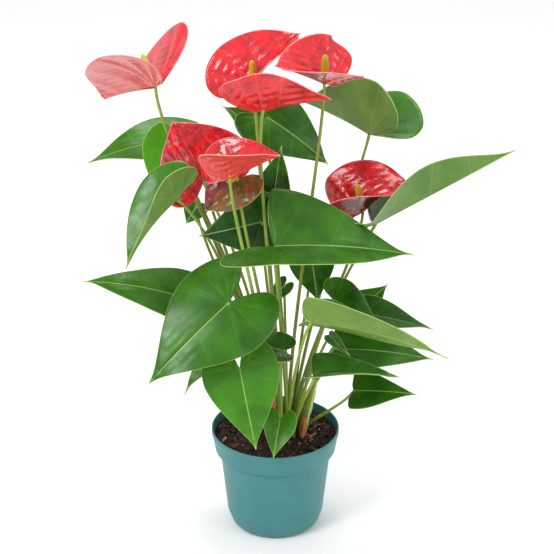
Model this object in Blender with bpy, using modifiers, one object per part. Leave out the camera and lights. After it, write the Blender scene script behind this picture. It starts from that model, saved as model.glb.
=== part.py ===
"""Potted anthurium: a flowering house plant in its nursery pot.

Every leaf is one solid of blade and petiole.  Every flower is a stalk, a
spathe (the red heart-shaped bract) and a spadix.  Lengths below are in
millimetres and are turned to metres by MM when meshes are made.
The origin is the middle of the pot's underside and +Z is up.
"""
import math
from collections import namedtuple

import bpy
import bmesh
import numpy as np
from mathutils import Matrix, Vector

MM = 0.001

# Pot
RIM_RADIUS = 70.0
RIM_HEIGHT = 117.0
COLLAR_HEIGHT = 24.5
COLLAR_RADIUS = 66.3
BODY_TOP_RADIUS = 61.0
BODY_FOOT_RADIUS = 53.0
BODY_FOOT_HEIGHT = 17.0
CHAMFER_RADIUS = 48.5
CHAMFER_HEIGHT = 4.5
FOOT_RADIUS = 44.0
WALL = 1.6
FLOOR_HEIGHT = 4.0
POT_STEPS = 40
DRAIN_COUNT = 6
DRAIN_RADIUS = 4.0
DRAIN_CIRCLE = 30.0
FOOT_NOTCHES = 8
NOTCH_TURN = -87.0
NOTCH_SIZE = (20.0, 14.0, 6.4)
NOTCH_REACH = 46.0

# Soil
SOIL_GAP = 0.4
SOIL_EDGE = 107.5
SOIL_CROWN = 110.5

# Plant
LEAF_THICKNESS = 0.9
SPATHE_THICKNESS = 0.9
SHEATH_THICKNESS = 0.7
BLADE_ROWS = 8
BLADE_COLUMNS = 3
SPATHE_ROWS = 9
SHEATH_ROWS = 6
LOBE_REACH = 0.34
STALK_HOLE_RADIUS = 2.6
STALK_HOLE_DEPTH = 14.0
START_LEAN = 0.25
STEM_GAP = 0.5
STEM_SEGMENTS = 7
PETIOLE_RADII = (2.0, 1.4)
PETIOLE_PAST = 1.2
STALK_RADII = (2.1, 1.5)
STALK_RISE = 2.0
SPADIX_GAP = 0.4
BUD_PLACE = (-2.0, -33.0)
BUD_BASE = 153.0
BUD_PROFILE = [(0, 25), (0.8, 23.5), (2.4, 16), (3.3, 8), (2.6, 2.5), (1.5, 0), (0, 0)]
BUD_STALK_RADIUS = 1.6
SPADIX_STEPS = 10
SPADIX_PROFILE = [
    (0, 1.0), (1.6, 0.97), (3.0, 0.86), (3.8, 0.6), (3.8, 0.38), (2.6, 0.16), (1.4, 0.0), (0, 0.0),
]
WELD = 0.00001

# Half outlines in lengths from joint to tip: x along the midrib, y across
LEAF_OUTLINE = [
    (-0.10, 0.03), (-0.23, 0.09), (-0.32, 0.19), (-0.29, 0.32), (-0.12, 0.42), (0.12, 0.44),
    (0.36, 0.36), (0.58, 0.235), (0.76, 0.12), (0.88, 0.045), (0.95, 0.014), (1.0, 0.0),
]
SPATHE_OUTLINE = [
    (-0.14, 0.04), (-0.32, 0.12), (-0.42, 0.27), (-0.36, 0.44), (-0.16, 0.55), (0.12, 0.56),
    (0.40, 0.47), (0.64, 0.33), (0.82, 0.17), (0.92, 0.07), (0.97, 0.02), (1.0, 0.0),
]

SHEATH_OUTLINE = [(0.0, 0.34), (0.15, 0.46), (0.4, 0.5), (0.65, 0.42), (0.85, 0.24), (0.95, 0.1), (1.0, 0.0)]

# joint and tip: where the petiole meets the blade, and the blade's point
# face: the way the upper side looks
# width: across the blade, in lengths from joint to tip
# back: how far the left and right back lobes reach, as a share of the outline's
# arch: height of the midrib's bow, same unit; lobes: how high the back lobes curve up
# fold, end_fold: degrees that the left and right halves rise from flat, at the joint and tip
# curl: degrees that each half gains from the midrib to the margin
# base: foot of the petiole; rise: its first handle; enter: its last handle, in petiole lengths
# lean: how far the spadix leans to the spathe's tip; length: the spadix's own
FIELDS = "name joint tip face width back arch lobes fold end_fold curl base rise enter"
Leaf = namedtuple("Leaf", FIELDS)
Flower = namedtuple("Flower", FIELDS + " lean length")

LEAVES = [
    # left side, from the back to the front
    Leaf("leaf_01", (-107, 88, 420), (-201, 62, 403), (-0.1, -0.35, 0.9),
         0.7, (1, 1), 0.06, 0, (5, 5), (2.5, 2.5), (10, 10), (0, 11.5), 0.4, (-0.12, 0.02, 0.15)),
    Leaf("leaf_02", (-107, 52, 426), (-124, 40, 364), (-0.3, -0.9, 0.35),
         1, (1, 1), 0.02, 0, (15, 15), (7.5, 7.5), (10, 10), (0, 5), 0.4, (-0.05, 0, 0.15)),
    Leaf("leaf_03", (-100, -42, 405), (-152, -78, 343), (-0.7, -0.2, 0.68),
         0.9, (1, 1), 0.06, 0, (62, 62), (31, 31), (-10, -10), (-6.5, -8), 0.4, (-0.1, -0.18, 0.16)),
    Leaf("leaf_04", (-88, -15, 278), (-201, -40, 312), (0, -0.45, 0.9),
         0.62, (1, 1), 0.06, 0, (5, 5), (2.5, 2.5), (-10, -10), (-6.5, -1.5), 0.35, (-0.2, 0, 0.1)),
    Leaf("leaf_05", (-48, -62, 298), (-131, -100, 223), (-0.1, -0.8, 0.65),
         0.92, (1, 1), 0.05, 0, (3, 3), (1.5, 1.5), (-20, -20), (-6.5, -14.5), 0.35, (-0.05, -0.05, 0.15)),
    Leaf("leaf_06", (-36, 55, 183), (-102, 30, 137), (-0.3, -0.2, 0.9),
         0.6, (1, 1), 0.14, 0, (35, 35), (17.5, 17.5), (0, 0), (-6.5, 11.5), 0.35, (-0.2, 0, 0.1)),
    Leaf("leaf_07", (-37, -75, 228), (-20, -105, 148), (-0.05, -0.85, 0.5),
         0.92, (1, 1), 0.05, 0, (4, 4), (2, 2), (-10, -10), (-6.5, -21), 0.35, (0, -0.05, 0.12)),
    # middle
    Leaf("leaf_08", (5, -64, 159), (-2, -88, 128), (0, -0.8, 0.6),
         0.9, (1, 1), 0.06, 0, (12, 12), (6, 6), (0, 0), (3, -27.5), 0.35, (0, -0.1, 0.15)),
    Leaf("leaf_09", (0, -66, 364), (143, -56, 349), (0, -0.34, 0.94),
         0.85, (0.12, 1.15), 0.04, 0, (30, 26), (-5, 12), (0, 0), (13, -8), 0.45, (0, -0.12, 0.25)),
    Leaf("leaf_10", (-3, 12, 365), (7, 16, 442), (-0.4, -0.9, 0.1),
         0.75, (1, 1), 0.03, 0, (20, 20), (10, 10), (0, 0), (13, 5), 0.35, (0, 0, 0.2)),
    Leaf("leaf_11", (-14, -11, 367), (-80, -23, 356), (0, -0.97, 0.25),
         0.95, (1, 1), 0.03, 0, (5, 5), (2.5, 2.5), (-10, -10), (6.5, -1.5), 0.35, (0, 0, 0.2)),
    # right side, from the top down
    Leaf("leaf_12", (106, 8, 356), (252, 28, 432), (-0.47, 0.38, 0.8),
         0.68, (0.1, 0.75), 0, 0.35, (25, 5), (50, 95), (0, 0), (19.5, -1.5), 0.35, (0.1, -0.04, 0.2)),
    Leaf("leaf_13", (100, 70, 433), (27, 148, 443), (0.3, 0.3, 0.9),
         1.15, (1, 1.2), 0.02, 0, (64, 56), (32, 28), (5, 5), (19.5, 11.5), 0.35, (0.02, -0.05, 0.15)),
    Leaf("leaf_14", (-8, 65, 454), (57, 60, 402), (0.2, -0.7, 0.7),
         0.9, (1, 1), 0.06, 0, (8, 8), (4, 4), (-10, -10), (13, 11.5), 0.35, (0, 0, 0.15)),
    Leaf("leaf_15", (-20, 95, 433), (-57, 100, 454), (0, -0.6, 0.8),
         0.8, (1, 1), 0.02, 0, (10, 10), (5, 5), (0, 0), (6.5, 18), 0.35, (0, 0, 0.15)),
    Leaf("leaf_16", (62, -14, 278), (110, -31, 254), (0.1, -0.6, 0.8),
         0.95, (1, 1), 0.06, 0, (10, 10), (5, 5), (0, 0), (26, 5), 0.35, (0.05, 0, 0.15)),
    Leaf("leaf_17", (83, 60, 220), (124, 65, 259), (0.1, -0.7, 0.6),
         0.9, (1, 1), 0, 0, (10, 10), (5, 5), (0, 0), (26, 18), 0.35, (0.05, 0, 0.15)),
    Leaf("leaf_18", (94, 15, 247), (171, 5, 233), (0.1, -0.3, 1),
         0.6, (1, 1), 0.03, 0, (20, 20), (10, 10), (0, 0), (26, 11.5), 0.35, (0.05, 0, 0.15)),
    Leaf("leaf_19", (37, -85, 287), (177, -115, 260), (0.26, 0.6, 0.77),
         0.66, (0.3, 0.2), 0.04, 0, (5, 20), (2.5, 10), (0, 0), (13, -14.5), 0.35, (0.05, -0.02, 0.1)),
    Leaf("leaf_20", (64, -15, 220), (168, -40, 220), (0.1, -0.5, 0.9),
         0.66, (0.1, 0.1), 0.05, 0, (5, 5), (2.5, 2.5), (0, 0), (26, -1.5), 0.35, (0.05, 0, 0.1)),
    Leaf("leaf_21", (57, -46, 252), (79, -50, 230), (-0.5, -0.3, 0.6),
         0.45, (0.3, 0.3), 0.05, 0, (20, 20), (10, 10), (0, 0), (19.5, -8), 0.35, (0, -0.25, 0.15)),
    Leaf("leaf_22", (41, -60, 209), (131, -85, 223), (0.05, 0, 1),
         0.6, (0.1, 0.1), 0.04, 0, (38, 30), (27.5, 17.5), (0, 0), (19.5, -14.5), 0.35, (0.02, 0, 0.1)),
    Leaf("leaf_23", (85, -20, 172), (152, -40, 178), (0.1, -0.6, 0.8),
         0.65, (0.15, 0.15), 0.04, 0, (5, 5), (2.5, 2.5), (0, 0), (32.5, 5), 0.15, (0.12, 0, 0.22)),
    # deep in the middle
    Leaf("leaf_24", (39, 32, 306), (46, 22, 258), (0, -0.9, 0.4),
         1, (1, 1), 0.03, 0, (5, 5), (2.5, 2.5), (0, 0), (19.5, 18), 0.35, (0, 0, 0.15)),
    Leaf("leaf_25", (6, -42, 233), (-26, -50, 253), (0, -0.6, 0.8),
         1, (1, 1), -0.12, 0, (10, 0), (5, 0), (20, 20), (6.5, -21), 0.35, (0, 0, 0.15)),
    Leaf("leaf_26", (10, 58, 261), (-6, 50, 243), (0, -0.8, 0.6),
         0.8, (1, 1), 0.03, 0, (5, 5), (2.5, 2.5), (0, 0), (13, 18), 0.35, (0, 0, 0.15)),
    Leaf("leaf_27", (-84, 35, 365), (-95, 30, 346), (0, -0.8, 0.6),
         1.2, (1, 1), 0.03, 0, (5, 5), (2.5, 2.5), (0, 0), (-6.5, 5), 0.35, (0, 0, 0.15)),
]

FLOWERS = [
    Flower("flower_1", (-123, 22, 503), (-183, 92, 465), (0.1, 0.1, 1),
           1.5, (1, 0.5), 0.02, 0, (44, 50), (26, 30), (-30, 20), (0, -1.5), 0.35, (0, 0, 0.15), 0.45, 36),
    Flower("flower_2", (-22, 36, 503), (26, 60, 549), (-0.5, -0.43, 0.76),
           1.45, (1, 0.6), 0.05, 0, (45, 45), (22.5, 22.5), (0, 0), (6.5, 5), 0.35, (0, 0, 0.15), 0.6, 24),
    Flower("flower_3", (50, 0, 515), (0, -40, 548), (0.4, -0.07, 0.91),
           1.4, (0.9, 1.35), 0.02, 0.12, (45, 50), (18.5, 18.5), (0, 0),
           (13, -1.5), 0.35, (0, 0, 0.15), 0.8, 34),
    Flower("flower_4", (-12, -50, 504), (56, -60, 520), (-0.17, 0.56, 0.8),
           1.25, (1, 1.5), 0.03, 0.1, (30, 24), (20, 20), (40, 40),
           (6.5, -8), 0.35, (0.03, -0.03, 0.15), 0.4, 36),
    Flower("flower_5", (-74, 2, 415), (-106, 10, 470), (0.1, -0.9, 0.5),
           1.7, (0.5, 0.9), 0.02, 0, (30, 10), (15, 5), (0, 0), (0, -8), 0.35, (0, -0.04, 0.15), 0.4, 30),
    Flower("flower_6", (-45, -78, 442), (5, -90, 473), (-0.41, 0.12, 0.91),
           1.5, (1.2, 0.4), 0.02, 0, (38, 54), (20, 28), (25, 12), (0, -14.5), 0.35, (0, -0.06, 0.15), 0, 26),
    Flower("flower_7", (-38, -35, 424), (-72, -38, 391), (-0.1, -0.8, 0.5),
           1.15, (1, 1), 0.03, 0, (10, 10), (5, 5), (-10, -10), (6.5, -14.5), 0.35, (0, 0, 0.15), 0.5, 20),
    Flower("flower_8", (93, 29, 360), (149, 25, 390), (-0.35, -0.1, 0.9),
           1.75, (0.5, 0.3), 0.15, 0, (51, 50), (10, 5), (0, 10), (19.5, 5), 0.35, (0, 0.03, 0.15), 0.3, 32),
]

# Papery sheaths that clasp the petioles' feet; joint is the foot here
SHEATHS = [
    Leaf("sheath_green", (30, -12.5, 111.5), (45, -17, 184), (0.1, 1, 0.1),
         0.13, (1, 1), 0.02, 0, (45, 45), (30, 30), (30, 30), (0, 0), 0, (0, 0, 0)),
    Leaf("sheath_dry", (29, -19, 111.5), (32, -20.5, 141), (0.1, 1, 0.1),
         0.3, (1, 1), 0.05, 0, (35, 35), (20, 20), (30, 30), (0, 0), 0, (0, 0, 0)),
]

YOUNG_LEAVES = ("leaf_02", "leaf_08")
OLD_FLOWER = "flower_7"


def smooth_curve(points, count):
    """`count` points along a Catmull-Rom curve through `points`."""
    knots = np.array(points, float)
    knots = np.vstack([2 * knots[0] - knots[1], knots, 2 * knots[-1] - knots[-2]])
    t = np.linspace(0, len(points) - 1, count)
    i = np.minimum(t.astype(int), len(points) - 2)
    u = (t - i)[:, None]
    a, b, c, d = knots[i], knots[i + 1], knots[i + 2], knots[i + 3]
    return 0.5 * (2 * b + (c - a) * u + (2 * a - 5 * b + 4 * c - d) * u**2 + (3 * b - a - 3 * c + d) * u**3)


def blade_frame(plan):
    """Unit vectors along the midrib and out of the upper side."""
    along = np.array(plan.tip, float) - np.array(plan.joint, float)
    along /= np.linalg.norm(along)
    up = np.array(plan.face, float)
    up -= (up @ along) * along
    return along, up / np.linalg.norm(up)


def blade_points(plan, outline, rows, columns):
    """Grid of points of a leaf blade or spathe, rows from the sinus to the tip.

    Each row runs from the left margin in to its foot on the midrib and out to
    the right margin, the way the side veins run.  The cross-section of each
    half is an arc that starts at the fold angle and turns by the curl angle.
    """
    joint, tip = np.array(plan.joint, float), np.array(plan.tip, float)
    length = np.linalg.norm(tip - joint)
    along, up = blade_frame(plan)
    side = np.cross(along, up)

    half_width = max(y for _, y in outline)
    margin = smooth_curve(outline, rows)
    near_tip = np.clip((margin[:, 0] + 0.05) / 1.05, 0, 1)
    foot = np.clip(margin[:, 0] - 0.8 * margin[:, 1] * (1 - near_tip), 0, 1)
    foot[-1] = 1
    share = np.linspace(-1, 1, 2 * columns + 1)
    left = share < 0
    reach = np.where(left, plan.back[0], plan.back[1])
    edge = margin[:, :1] * np.where(margin[:, :1] < 0, reach, 1)
    x = foot[:, None] + (edge - foot[:, None]) * np.abs(share)
    y = margin[:, 1:] * share / half_width

    joint_fold = np.where(left, plan.fold[0], plan.fold[1])
    tip_fold = np.where(left, plan.end_fold[0], plan.end_fold[1])
    fold = np.radians(joint_fold + (tip_fold - joint_fold) * np.clip(x, 0, 1))
    curl = np.radians(np.where(left, plan.curl[0], plan.curl[1])) + 1e-3
    out = np.abs(y)
    half = plan.width / 2
    lateral = half / curl * (np.sin(fold + curl * out) - np.sin(fold)) * np.sign(y)
    height = half / curl * (np.cos(fold) - np.cos(fold + curl * out))
    behind = np.minimum(x, 0) / LOBE_REACH
    rise = 4 * plan.arch * x * (1 - x) + plan.lobes * behind**2
    slope = 4 * plan.arch * (1 - 2 * x) + 2 * plan.lobes * behind / LOBE_REACH
    stretch = np.sqrt(1 + slope**2)
    forward = x - height * slope / stretch
    upward = rise + height / stretch
    return joint + length * (
        forward[..., None] * along + upward[..., None] * up + lateral[..., None] * side)


def stem_handles(plan):
    """The four Bezier points of a petiole or stalk, from the soil to the joint."""
    x, y = plan.base
    foot = np.array([x, y, soil_height(math.hypot(x, y)) + STEM_GAP])
    joint = np.array(plan.joint, float)
    span = joint - foot
    length = np.linalg.norm(span)
    start = np.array([START_LEAN * span[0] / length, START_LEAN * span[1] / length, 1.0])
    start /= np.linalg.norm(start)
    return foot, foot + start * length * plan.rise, joint - length * np.array(plan.enter), joint


def soil_height(radius):
    """Height of the soil, slightly mounded round the plant."""
    return SOIL_EDGE + (SOIL_CROWN - SOIL_EDGE) * (1 - (radius / RIM_RADIUS)**2)


def clear_scene():
    """Removes whatever the file opened with."""
    for thing in list(bpy.data.objects):
        bpy.data.objects.remove(thing)
    for group in list(bpy.data.collections):
        bpy.data.collections.remove(group)


def new_collection(name, hidden=False):
    """A collection in the scene; hidden ones hold cutters."""
    group = bpy.data.collections.new(name)
    group.hide_render = hidden
    bpy.context.scene.collection.children.link(group)
    return group


def new_material(name, colour, roughness):
    """Principled material with a colour in linear RGB."""
    material = bpy.data.materials.new(name)
    material.use_nodes = True
    shader = material.node_tree.nodes["Principled BSDF"]
    shader.inputs["Base Color"].default_value = (*colour, 1.0)
    shader.inputs["Roughness"].default_value = roughness
    material.diffuse_color = (*colour, 1.0)
    return material


def add_object(name, data, group, material=None):
    """Names the data and its object alike and links them."""
    data.name = name
    thing = bpy.data.objects.new(name, data)
    group.objects.link(thing)
    if material:
        data.materials.clear()
        data.materials.append(material)
    return thing


def add_cutter(name, mesh, group):
    """An object that only cuts or joins others."""
    thing = add_object(name, mesh, group)
    thing.display_type = "WIRE"
    thing.hide_render = True
    return thing


def add_boolean(thing, cutter, operation):
    """Boolean with the exact solver."""
    modifier = thing.modifiers.new(cutter.name, "BOOLEAN")
    modifier.operation = operation
    modifier.solver = "EXACT"
    modifier.object = cutter


def sheet_mesh(points):
    """Grid mesh moved to `points`, with the rows that meet welded."""
    rows, columns = points.shape[:2]
    work = bmesh.new()
    bmesh.ops.create_grid(work, x_segments=columns - 1, y_segments=rows - 1, size=1)
    work.verts.ensure_lookup_table()
    for vertex, place in zip(work.verts, points.reshape(-1, 3)):
        vertex.co = place * MM
    bmesh.ops.remove_doubles(work, verts=work.verts, dist=WELD)
    bmesh.ops.dissolve_degenerate(work, edges=work.edges, dist=WELD)
    mesh = bpy.data.meshes.new("sheet")
    work.to_mesh(mesh)
    work.free()
    return mesh


def add_sheet(name, points, thickness, group, material):
    """A leaf blade or spathe: an open sheet with Solidify."""
    thing = add_object(name, sheet_mesh(points), group, material)
    thing.data.shade_smooth()
    shell = thing.modifiers.new("thickness", "SOLIDIFY")
    shell.thickness = thickness * MM
    shell.offset = 0.0
    return thing


def tube_mesh(handles, radii, past=0.0):
    """Mesh of a round stem along a Bezier curve that runs `past` its end."""
    foot, leave, enter, end = handles
    tip = end + past * (end - enter) / np.linalg.norm(end - enter)
    curve = bpy.data.curves.new("stem", "CURVE")
    curve.dimensions = "3D"
    curve.resolution_u = STEM_SEGMENTS
    curve.bevel_depth = MM
    curve.bevel_resolution = 1
    curve.use_fill_caps = True
    spline = curve.splines.new("BEZIER")
    spline.bezier_points.add(1)
    first, last = spline.bezier_points
    for point in (first, last):
        point.handle_left_type = "FREE"
        point.handle_right_type = "FREE"
    first.co = Vector(foot * MM)
    first.handle_left = Vector((2 * foot - leave) * MM)
    first.handle_right = Vector(leave * MM)
    last.co = Vector(tip * MM)
    last.handle_left = Vector(enter * MM)
    last.handle_right = Vector((2 * tip - enter) * MM)
    first.radius, last.radius = radii
    guide = bpy.data.objects.new("stem", curve)
    bpy.context.scene.collection.objects.link(guide)
    bpy.context.view_layer.update()
    shape = guide.evaluated_get(bpy.context.evaluated_depsgraph_get())
    mesh = bpy.data.meshes.new_from_object(shape)
    bpy.data.objects.remove(guide)
    work = bmesh.new()
    work.from_mesh(mesh)
    bmesh.ops.remove_doubles(work, verts=work.verts, dist=WELD)
    bmesh.ops.recalc_face_normals(work, faces=work.faces)
    work.to_mesh(mesh)
    work.free()
    mesh.shade_smooth()
    return mesh


def turned(name, profile, steps, group, material):
    """A turned shape: a profile at +X, from top to bottom, with Screw."""
    mesh = bpy.data.meshes.new(name)
    edges = [(i, i + 1) for i in range(len(profile) - 1)]
    mesh.from_pydata([(r * MM, 0, z * MM) for r, z in profile], edges, [])
    thing = add_object(name, mesh, group, material)
    screw = thing.modifiers.new("turn", "SCREW")
    screw.steps = steps
    screw.render_steps = steps
    screw.use_merge_vertices = True
    screw.merge_threshold = WELD
    screw.use_smooth_shade = True
    return thing


def add_leaf(plan, group, cutters, green):
    """Blade and petiole in one solid."""
    points = blade_points(plan, LEAF_OUTLINE, BLADE_ROWS, BLADE_COLUMNS)
    blade = add_sheet(plan.name, points, LEAF_THICKNESS, group, green)
    size = PETIOLE_RADII
    petiole = add_cutter(plan.name + "_petiole", tube_mesh(stem_handles(plan), size, PETIOLE_PAST), cutters)
    add_boolean(blade, petiole, "UNION")
    return blade


def add_flower(plan, group, cutters, stalk_material, red, yellow):
    """Stalk, spathe and spadix, each its own solid."""
    handles = stem_handles(plan)
    end, enter = handles[3], handles[2]
    way = (end - enter) / np.linalg.norm(end - enter)
    stalk = tube_mesh(handles, STALK_RADII, STALK_RISE)
    add_object(plan.name + "_stalk", stalk, group, stalk_material)

    points = blade_points(plan, SPATHE_OUTLINE, SPATHE_ROWS, BLADE_COLUMNS)
    spathe = add_sheet(plan.name + "_spathe", points, SPATHE_THICKNESS, group, red)
    work = bmesh.new()
    bmesh.ops.create_cone(work, cap_ends=True, segments=12, radius1=STALK_HOLE_RADIUS * MM,
                          radius2=STALK_HOLE_RADIUS * MM, depth=STALK_HOLE_DEPTH * MM)
    mesh = bpy.data.meshes.new(plan.name + "_hole")
    work.to_mesh(mesh)
    work.free()
    hole = add_cutter(plan.name + "_hole", mesh, cutters)
    hole.location = Vector(end * MM)
    hole.rotation_mode = "QUATERNION"
    hole.rotation_quaternion = Vector(way).to_track_quat("Z", "Y")
    add_boolean(spathe, hole, "DIFFERENCE")

    along, up = blade_frame(plan)
    across = math.tan(math.radians(plan.fold[0] - plan.fold[1]) / 2)
    lean = up + plan.lean * along + across * np.cross(along, up)
    lean /= np.linalg.norm(lean)
    tilt = np.linalg.norm(np.cross(way, lean))
    lift = STALK_RISE + SPADIX_GAP + 2 * STALK_RADII[1] * tilt
    profile = [(r, h * plan.length) for r, h in SPADIX_PROFILE]
    spadix = turned(plan.name + "_spadix", profile, SPADIX_STEPS, group, yellow)
    spadix.location = Vector((end + lift * way) * MM)
    spadix.rotation_mode = "QUATERNION"
    spadix.rotation_quaternion = Vector(lean).to_track_quat("Z", "Y")


def add_pot(group, cutters, plastic):
    """Thin-walled nursery pot with a rolled collar, foot notches and drain holes."""
    wall = WALL
    profile = [
        (RIM_RADIUS - wall, RIM_HEIGHT), (RIM_RADIUS, RIM_HEIGHT),
        (RIM_RADIUS - 0.8, RIM_HEIGHT - 8), (COLLAR_RADIUS, RIM_HEIGHT - COLLAR_HEIGHT),
        (BODY_TOP_RADIUS, RIM_HEIGHT - COLLAR_HEIGHT - 1.5), (BODY_FOOT_RADIUS, BODY_FOOT_HEIGHT),
        (CHAMFER_RADIUS, CHAMFER_HEIGHT), (FOOT_RADIUS, 0), (0, 0),
        (0, FLOOR_HEIGHT), (FOOT_RADIUS - 1, FLOOR_HEIGHT), (CHAMFER_RADIUS - wall, CHAMFER_HEIGHT + 2),
        (BODY_FOOT_RADIUS - wall, BODY_FOOT_HEIGHT), (BODY_TOP_RADIUS - wall, RIM_HEIGHT - COLLAR_HEIGHT),
        (COLLAR_RADIUS - wall, RIM_HEIGHT - COLLAR_HEIGHT + 1.5), (RIM_RADIUS - wall, RIM_HEIGHT),
    ]
    pot = turned("pot", profile, POT_STEPS, group, plastic)
    work = bmesh.new()
    for index in range(DRAIN_COUNT):
        angle = 2 * math.pi * index / DRAIN_COUNT
        hole = bmesh.ops.create_cone(work, cap_ends=True, segments=10, radius1=DRAIN_RADIUS * MM,
                                     radius2=DRAIN_RADIUS * MM, depth=4 * FLOOR_HEIGHT * MM)
        place = Vector((math.cos(angle), math.sin(angle), 0)) * DRAIN_CIRCLE * MM
        bmesh.ops.translate(work, verts=hole["verts"], vec=place)
    mesh = bpy.data.meshes.new("drain_holes")
    work.to_mesh(mesh)
    work.free()
    add_boolean(pot, add_cutter("drain_holes", mesh, cutters), "DIFFERENCE")

    work = bmesh.new()
    for index in range(FOOT_NOTCHES):
        turn = Matrix.Rotation(math.radians(NOTCH_TURN + 360 * index / FOOT_NOTCHES), 4, "Z")
        size = Matrix.Diagonal(Vector(NOTCH_SIZE) * MM).to_4x4()
        place = Matrix.Translation(Vector((NOTCH_REACH, 0, 0)) * MM)
        bmesh.ops.create_cube(work, size=1, matrix=turn @ place @ size)
    mesh = bpy.data.meshes.new("foot_notches")
    work.to_mesh(mesh)
    work.free()
    add_boolean(pot, add_cutter("foot_notches", mesh, cutters), "DIFFERENCE")


def add_soil(group, peat):
    """Peat that fills the pot up to just under the rim."""
    inset = WALL + SOIL_GAP
    step = RIM_HEIGHT - COLLAR_HEIGHT
    slope = (RIM_RADIUS - COLLAR_RADIUS) / COLLAR_HEIGHT
    edge = COLLAR_RADIUS - inset + slope * (SOIL_EDGE - step - 2)
    profile = [(0, SOIL_CROWN)]
    profile += [(r, soil_height(r)) for r in (20, 40, 55)]
    profile += [
        (edge, SOIL_EDGE), (COLLAR_RADIUS - inset, step + 2.5), (BODY_TOP_RADIUS - inset - 0.5, step + 0.5),
        (BODY_FOOT_RADIUS - inset, BODY_FOOT_HEIGHT), (CHAMFER_RADIUS - inset - 1, CHAMFER_HEIGHT + 3),
        (0, FLOOR_HEIGHT + SOIL_GAP + 2),
    ]
    turned("soil", profile, POT_STEPS, group, peat)


def add_bud(group, stem, crimson):
    """A rolled young spathe on a short stalk of its own."""
    x, y = BUD_PLACE
    foot = soil_height(math.hypot(x, y)) + STEM_GAP
    places = [np.array([x, y, foot + share * (BUD_BASE - STEM_GAP - foot)]) for share in (0, 0.33, 0.67, 1)]
    add_object("bud_stalk", tube_mesh(places, (BUD_STALK_RADIUS, BUD_STALK_RADIUS)), group, stem)
    bud = turned("bud", BUD_PROFILE, SPADIX_STEPS, group, crimson)
    bud.location = Vector((x, y, BUD_BASE)) * MM


def main():
    """Builds the plant in its pot."""
    clear_scene()
    plant = new_collection("potted_anthurium")
    cutters = new_collection("cutters", hidden=True)
    green = new_material("leaf_green", (0.03, 0.13, 0.015), 0.35)
    young = new_material("leaf_young", (0.15, 0.32, 0.012), 0.35)
    stem = new_material("stem_bronze", (0.22, 0.16, 0.05), 0.5)
    red = new_material("spathe_red", (0.72, 0.012, 0.018), 0.25)
    old = new_material("spathe_old", (0.30, 0.08, 0.02), 0.35)
    yellow = new_material("spadix_yellow", (0.75, 0.52, 0.03), 0.6)
    crimson = new_material("bud_crimson", (0.35, 0.01, 0.04), 0.3)
    papery = new_material("sheath_brown", (0.40, 0.12, 0.02), 0.7)
    plastic = new_material("pot_teal", (0.09, 0.26, 0.27), 0.5)
    peat = new_material("peat", (0.03, 0.017, 0.012), 0.95)

    add_pot(plant, cutters, plastic)
    add_soil(plant, peat)
    for plan in LEAVES:
        add_leaf(plan, plant, cutters, young if plan.name in YOUNG_LEAVES else green)
    for plan in FLOWERS:
        add_flower(plan, plant, cutters, stem, old if plan.name == OLD_FLOWER else red, yellow)
    add_bud(plant, stem, crimson)
    for plan, finish in zip(SHEATHS, (young, papery)):
        points = blade_points(plan, SHEATH_OUTLINE, SHEATH_ROWS, BLADE_COLUMNS)
        add_sheet(plan.name, points, SHEATH_THICKNESS, plant, finish)


if __name__ == "__main__":
    main()
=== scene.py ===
"""Potted anthurium: leaves, flowers, soil and pot in full detail.

Laid out as an add-on and run as a script.  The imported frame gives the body
that every piece rides on and the box that every piece has to fit.  Lengths in
the tables are in millimetres and MM turns them to metres in the meshes.
"""
import math
from collections import namedtuple

import bmesh
import bpy
import numpy as np
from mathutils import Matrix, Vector


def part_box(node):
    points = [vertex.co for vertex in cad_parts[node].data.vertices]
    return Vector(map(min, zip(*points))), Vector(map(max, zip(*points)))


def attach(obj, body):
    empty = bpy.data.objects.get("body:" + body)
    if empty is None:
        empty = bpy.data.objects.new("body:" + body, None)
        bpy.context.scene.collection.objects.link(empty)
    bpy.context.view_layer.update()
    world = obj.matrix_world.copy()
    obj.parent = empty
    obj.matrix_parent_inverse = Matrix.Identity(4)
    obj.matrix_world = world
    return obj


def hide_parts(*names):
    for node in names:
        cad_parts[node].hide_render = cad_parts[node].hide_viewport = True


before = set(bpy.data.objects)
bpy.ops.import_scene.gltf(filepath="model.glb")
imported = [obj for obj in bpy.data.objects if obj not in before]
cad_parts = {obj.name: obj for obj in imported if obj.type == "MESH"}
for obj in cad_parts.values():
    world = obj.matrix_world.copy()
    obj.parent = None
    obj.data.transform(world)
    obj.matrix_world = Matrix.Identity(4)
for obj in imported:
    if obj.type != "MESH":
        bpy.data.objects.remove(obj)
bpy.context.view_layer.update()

bl_info = {
    "name": "Potted anthurium",
    "version": (1, 0, 0),
    "blender": (4, 5, 0),
    "location": "View3D > Sidebar > Anthurium",
    "description": "A red-flowered anthurium in a nursery pot",
    "category": "Add Mesh",
}

MM = 0.001
WELD = 0.000002
# How far a fine piece may be off its CAD node's box: three pieces need more than 3.5
BOX_SLACK = 7.0
BODY = "root"

# Pot
RIM_RADIUS = 70.0
RIM_HEIGHT = 117.0
COLLAR_HEIGHT = 24.5
COLLAR_RADIUS = 66.3
BODY_TOP_RADIUS = 61.0
BODY_FOOT_RADIUS = 53.0
BODY_FOOT_HEIGHT = 17.0
CHAMFER_RADIUS = 48.5
CHAMFER_HEIGHT = 4.5
FOOT_RADIUS = 44.0
FLOOR_HEIGHT = 4.0
FOOT_NOTCHES = 8
NOTCH_TURN = -87.0
NOTCH_WIDTH = 14.0
NOTCH_HEIGHT = 3.2
NOTCH_START = 36.0
POT_COLUMNS = 192
POT_CORNERS = 0.7
POT_STEP = 2.5

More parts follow.
